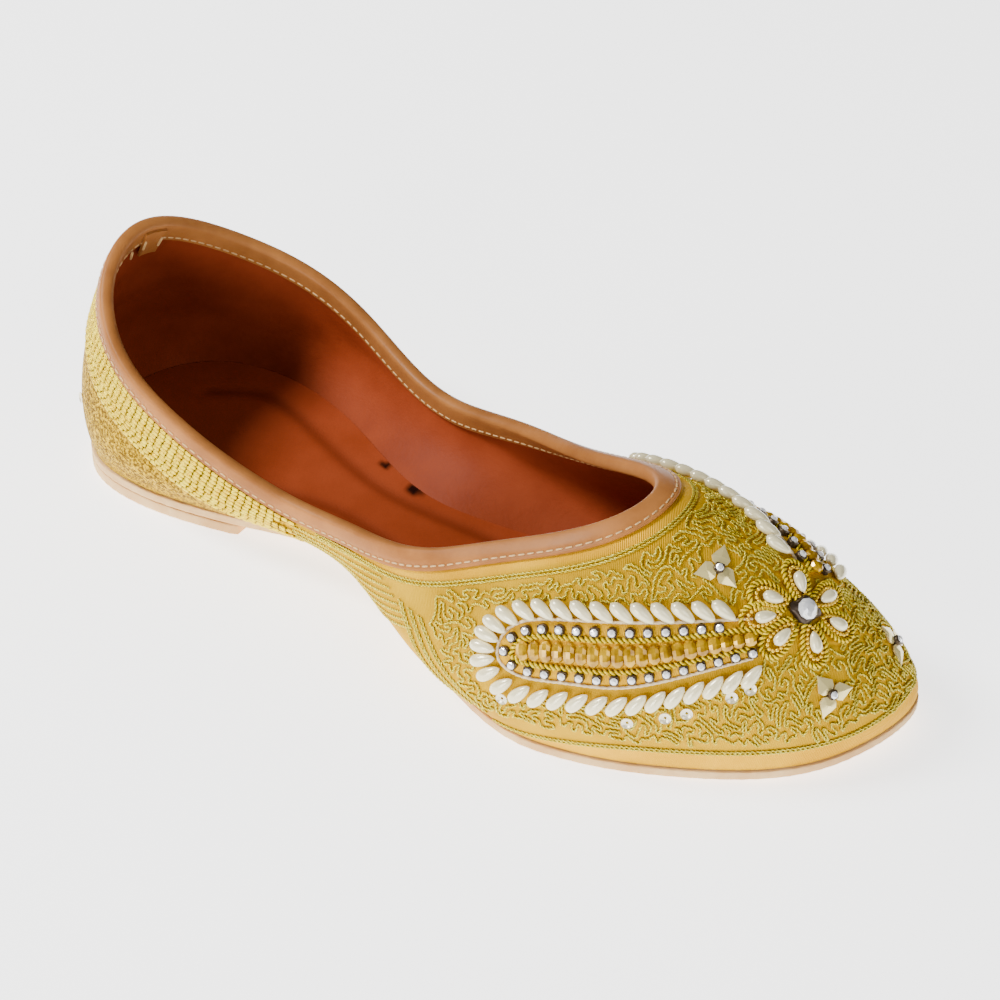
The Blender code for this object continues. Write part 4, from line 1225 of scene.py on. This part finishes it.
MIRROR = new_material("mirror", (0.96, 0.80, 0.34, 1), 0.1, 0.45)
for name, spot in MIRRORS.items():
    onto = seat_at(spot)
    points, faces = [], []
    for k in range(3):
        turn = 2 * np.pi * k / 3
        out, across = np.array([np.cos(turn), np.sin(turn)]), np.array([-np.sin(turn), np.cos(turn)])
        half = [(0.0013, 0.0018), (0.0026, 0.0023), (0.0040, 0.0014), (0.0052, 0.0005)]
        outline = [(0.0004, 0.0)] + half + [(MIRROR_RADIUS, 0.0)] + [(r, -s) for r, s in half[::-1]]
        flat_line = np.array([out * r + across * s for r, s in outline])
        spine = out * 0.0028
        base = len(points)
        rim_top = onto(flat_line[:, 0], flat_line[:, 1], 0.45 * MIRROR_HEIGHT)[0]
        rim_low = onto(flat_line[:, 0], flat_line[:, 1], -0.0002)[0]
        crown = onto(spine[0], spine[1], MIRROR_HEIGHT)[0]
        points += list(rim_top) + list(rim_low) + [crown]
        n = len(outline)
        faces += [(base + j, base + (j + 1) % n, base + 2 * n) for j in range(n)]
        faces += [(base + j, base + (j + 1) % n, base + n + (j + 1) % n, base + n + j) for j in range(n)]
        faces.append(tuple(base + n + j for j in range(n)))
    piece = new_piece(name + "_leaves", np.array(points), faces, (MIRROR,), sharp=8)
    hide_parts(name)
    centre, normal = onto(0.0, 0.0, 0.0007)
    ahead = unit(onto(0.001, 0.0)[0] - onto(0.0, 0.0)[0])
    beads["cup"].append((centre[None], ahead[None], normal[None]))
    beads["stone"].append((centre[None] + normal[None] * 0.0006, ahead[None], normal[None]))
    u, v = (grid.ravel() for grid in np.meshgrid(np.linspace(-0.006, 0.006, 12), np.linspace(-0.006, 0.006, 12)))
    inside = np.hypot(u, v) < 0.0048
    keep_clear.append(onto(u[inside], v[inside])[0])

# Cups and stones of the leaves and mirrors together
turn = np.arange(16) / 16 * 2 * np.pi
cup_levels = ((1.0, 0.0, -0.0009), (1.0, 0.06, 0.0002), (0.96, 0.16, 0.00055), (0.80, 0.10, 0.0006),
              (0.72, 0.0, 0.0001))
cup_points = [(CUP_SIZE * (r - s * np.cos(4 * a)) * np.cos(a), CUP_SIZE * (r - s * np.cos(4 * a)) * np.sin(a), h)
              for r, s, h in cup_levels for a in turn]
cup_faces = [tuple(range(16)), tuple(range(64, 80))]
cup_faces += [(k * 16 + j, k * 16 + (j + 1) % 16, (k + 1) * 16 + (j + 1) % 16, (k + 1) * 16 + j)
              for k in range(4) for j in range(16)]
cups = set_pieces("stone_cups", *gather("cup"), shape_of(cup_points, cup_faces), CUP)
stones = set_pieces("cup_stones", *[rows - (0 if i else 0) for i, rows in enumerate(gather("stone"))],
                    brilliant(0.00095, 0.0007, 8), STONE)


# Wandering cord: one fine twisted cord is couched all over the vamp in tight loops that never
# cross, between the borders and round the leaves, the flower and the mirrors.
CELL = 0.0023                   # two passes of the cord
WANDER_CORD = 0.00042
WANDER_SWAY = 0.0005            # of the loops, over about 9 mm
WANDER_SEED = 7

lengthways_share = np.linspace(0.50, 0.994, 400)
crest = surface(angle_at(lengthways_share), np.full(400, np.pi / 2))
crest_run = np.append(0, np.cumsum(np.linalg.norm(np.diff(crest, axis=0), axis=1)))


def over_vamp(run, distance):
    share = np.interp(run, crest_run, lengthways_share)
    along, turn, near_edge, far_edge = girth(share, distance)
    return along, turn, near_edge, far_edge


cells_long = int(crest_run[-1] / CELL)
cells_wide = 2 * int(0.075 / CELL)
grid_i, grid_j = np.meshgrid(np.arange(cells_long), np.arange(cells_wide), indexing="ij")
run_at = (grid_i.ravel() + 0.5) * CELL
wide_at = (grid_j.ravel() + 0.5 - cells_wide / 2) * CELL
along, turn, near_edge, far_edge = over_vamp(run_at, wide_at)
on_shoe = (wide_at > near_edge + 0.001) & (wide_at < far_edge - 0.001)
spot = surface(along, turn)
band_line = surface(*under_edge(band + 0.0009))[front]
hem_line = surface(*over_feather(hem + 0.0009))
panel_share = PANEL[-1][0] + 0.015 + (PANEL[-1][1] - PANEL[-1][0]) * np.clip(
    (np.abs(wide_at) / np.maximum(np.where(wide_at < 0, -near_edge, far_edge), 1e-3) - 0.64) / 0.28, 0, 1)
above_hem = np.interp(share_at(along), [0.5, 0.58, 0.68, 1.0], [0.003, 0.004, 0.0086, 0.0086])
free = on_shoe & (share_at(along) > panel_share)
free &= np.minimum(wide_at - near_edge, far_edge - wide_at) > above_hem
free &= nearest(spot, surface(*under_edge(0.0))) > np.interp(share_at(along), [0.5, 0.7], [0.0110, 0.0118])
free &= nearest(spot, band_line) > 0.0013
free &= nearest(spot, np.concatenate(keep_clear)) > 0.0009
free &= (share_at(along) > THROAT) | (ridge(along) * np.sin(turn) < topline_height(share_at(along)) - 0.006)
free = free.reshape(cells_long, cells_wide)

rng = np.random.default_rng(WANDER_SEED)
group = np.arange(free.size).reshape(free.shape)
parent = np.arange(free.size)


def root_of(i):
    while parent[i] != i:
        parent[i] = parent[parent[i]]
        i = parent[i]
    return i


doors = [(i, j, 1, 0) for i in range(cells_long - 1) for j in range(cells_wide) if free[i, j] and free[i + 1, j]]
doors += [(i, j, 0, 1) for i in range(cells_long) for j in range(cells_wide - 1) if free[i, j] and free[i, j + 1]]
rng.shuffle(doors)
opened = set()
for i, j, di, dj in doors:
    a, b = root_of(group[i, j]), root_of(group[i + di, j + dj])
    if a != b:
        parent[a] = b
        opened.add((i, j, di, dj))
links = {}


def tie(a, b):
    links.setdefault(a, []).append(b)
    links.setdefault(b, []).append(a)


for i, j in np.argwhere(free):
    i, j = int(i), int(j)
    if (i, j, 1, 0) in opened:
        tie((2 * i + 1, 2 * j), (2 * i + 2, 2 * j))
        tie((2 * i + 1, 2 * j + 1), (2 * i + 2, 2 * j + 1))
    else:
        tie((2 * i + 1, 2 * j), (2 * i + 1, 2 * j + 1))
    if (i, j, 0, 1) in opened:
        tie((2 * i, 2 * j + 1), (2 * i, 2 * j + 2))
        tie((2 * i + 1, 2 * j + 1), (2 * i + 1, 2 * j + 2))
    else:
        tie((2 * i, 2 * j + 1), (2 * i + 1, 2 * j + 1))
    if (i - 1, j, 1, 0) not in opened:
        tie((2 * i, 2 * j), (2 * i, 2 * j + 1))
    if (i, j - 1, 0, 1) not in opened:
        tie((2 * i, 2 * j), (2 * i + 1, 2 * j))
paths, seen = [], set()
for start in links:
    if start in seen:
        continue
    loop, here, before = [], start, None
    while here not in seen:
        seen.add(here)
        loop.append(here)
        onward = [spot_ for spot_ in links[here] if spot_ != before and spot_ not in seen]
        before = here
        if onward:
            here = onward[0]
    if len(loop) < 4:
        continue
    line = np.array(loop, float) + rng.uniform(-0.2, 0.2, (len(loop), 2))
    after = np.roll(line, -1, axis=0)
    line = np.stack([line + (after - line) * part for part in (0, 0.25, 0.5, 0.75)], 1).reshape(-1, 2)
    for _ in range(8):
        line = 0.5 * line + 0.25 * (np.roll(line, 1, axis=0) + np.roll(line, -1, axis=0))
    run = (line[:, 0] + 0.5) * CELL / 2
    wide = (line[:, 1] + 0.5 - cells_wide) * CELL / 2
    sway = WANDER_SWAY * np.sin(700 * wide + 1.3 * np.sin(430 * run))
    wide = wide + WANDER_SWAY * np.sin(700 * run + 1.3 * np.sin(430 * wide + 2.0))
    along, turn, _, _ = over_vamp(run + sway, wide)
    paths.append(on_angles((along, turn), WANDER_CORD * 0.6 * np.ones(len(run)))[0])
lengths = []
for path in paths:
    closed_path = np.vstack([path, path[:1]])
    cuts = np.linspace(0, len(path), 2 + len(path) // 6000).astype(int)
    lengths += [closed_path[a:b + 1] for a, b in zip(cuts[:-1], cuts[1:])]
lengths.sort(key=len)
for name, chosen in (("wandering_cord_1", lengths[::2]), ("wandering_cord_2", lengths[1::2])):
    wander = cord(name, chosen, WANDER_CORD, CORD, twist=0.0022, step=0.00036)


# Floor and studio: a pale sweep under soft light from the left and above.
floor_mesh = bpy.data.meshes.new("floor")
floor_mesh.from_pydata([(-3, -3, 0), (3, -3, 0), (3, 3, 0), (-3, 3, 0)], [], [(0, 1, 2, 3)])
floor_mesh.materials.append(new_material("floor", (0.9, 0.9, 0.9, 1.0), 0.8, **{
    "Emission Color": (1.0, 1.0, 1.0, 1.0), "Emission Strength": 2.5}))
floor = bpy.data.objects.new("floor", floor_mesh)
bpy.context.scene.collection.objects.link(floor)
floor.location = (0, 0, -0.0002)
floor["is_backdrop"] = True


def lamp(name, position, aim, size, watts):
    light = bpy.data.lights.new(name, "AREA")
    light.shape = "DISK"
    light.size = size
    light.energy = watts
    made = bpy.data.objects.new(name, light)
    bpy.context.scene.collection.objects.link(made)
    made.location = position
    made.rotation_euler = (Vector(aim) - Vector(position)).to_track_quat("-Z", "Y").to_euler()
    made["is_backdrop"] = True


lamp("key", (-0.66, -0.38, 0.93), (0, 0, 0.02), 0.36, 18.5)
lamp("front", (0.05, -1.0, 0.26), (0, 0, 0.02), 0.5, 7.0)
lamp("right", (0.9, -0.3, 0.6), (0.03, 0, 0.02), 0.6, 3.0)
world = bpy.data.worlds.new("studio")
world.use_nodes = True
world.node_tree.nodes["Background"].inputs["Color"].default_value = (1.0, 1.0, 1.0, 1.0)
world.node_tree.nodes["Background"].inputs["Strength"].default_value = 0.08
bpy.context.scene.world = world

# Camera, at the photo's angle
AZIMUTH = np.radians(33.36)
ELEVATION = np.radians(39.22)
ROLL = np.radians(0.8)
DISTANCE = 0.70
back = np.array([np.sin(AZIMUTH) * np.cos(ELEVATION), -np.cos(AZIMUTH) * np.cos(ELEVATION), np.sin(ELEVATION)])
right = np.array([np.cos(AZIMUTH), np.sin(AZIMUTH), 0])
up = np.cross(back, right)
right, up = right * np.cos(ROLL) + up * np.sin(ROLL), up * np.cos(ROLL) - right * np.sin(ROLL)
eye = np.array([MIDDLE[0], MIDDLE[1], 0.020]) + back * DISTANCE + right * 0.0054 + up * 0.00304
camera_data = bpy.data.cameras.new("camera")
camera_data.sensor_width = 36.0
camera_data.lens = 97.98
camera = bpy.data.objects.new("camera", camera_data)
bpy.context.scene.collection.objects.link(camera)
camera.matrix_world = Matrix([[right[i], up[i], back[i], eye[i]] for i in range(3)] + [[0, 0, 0, 1]])
bpy.context.scene.camera = camera

low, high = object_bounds()
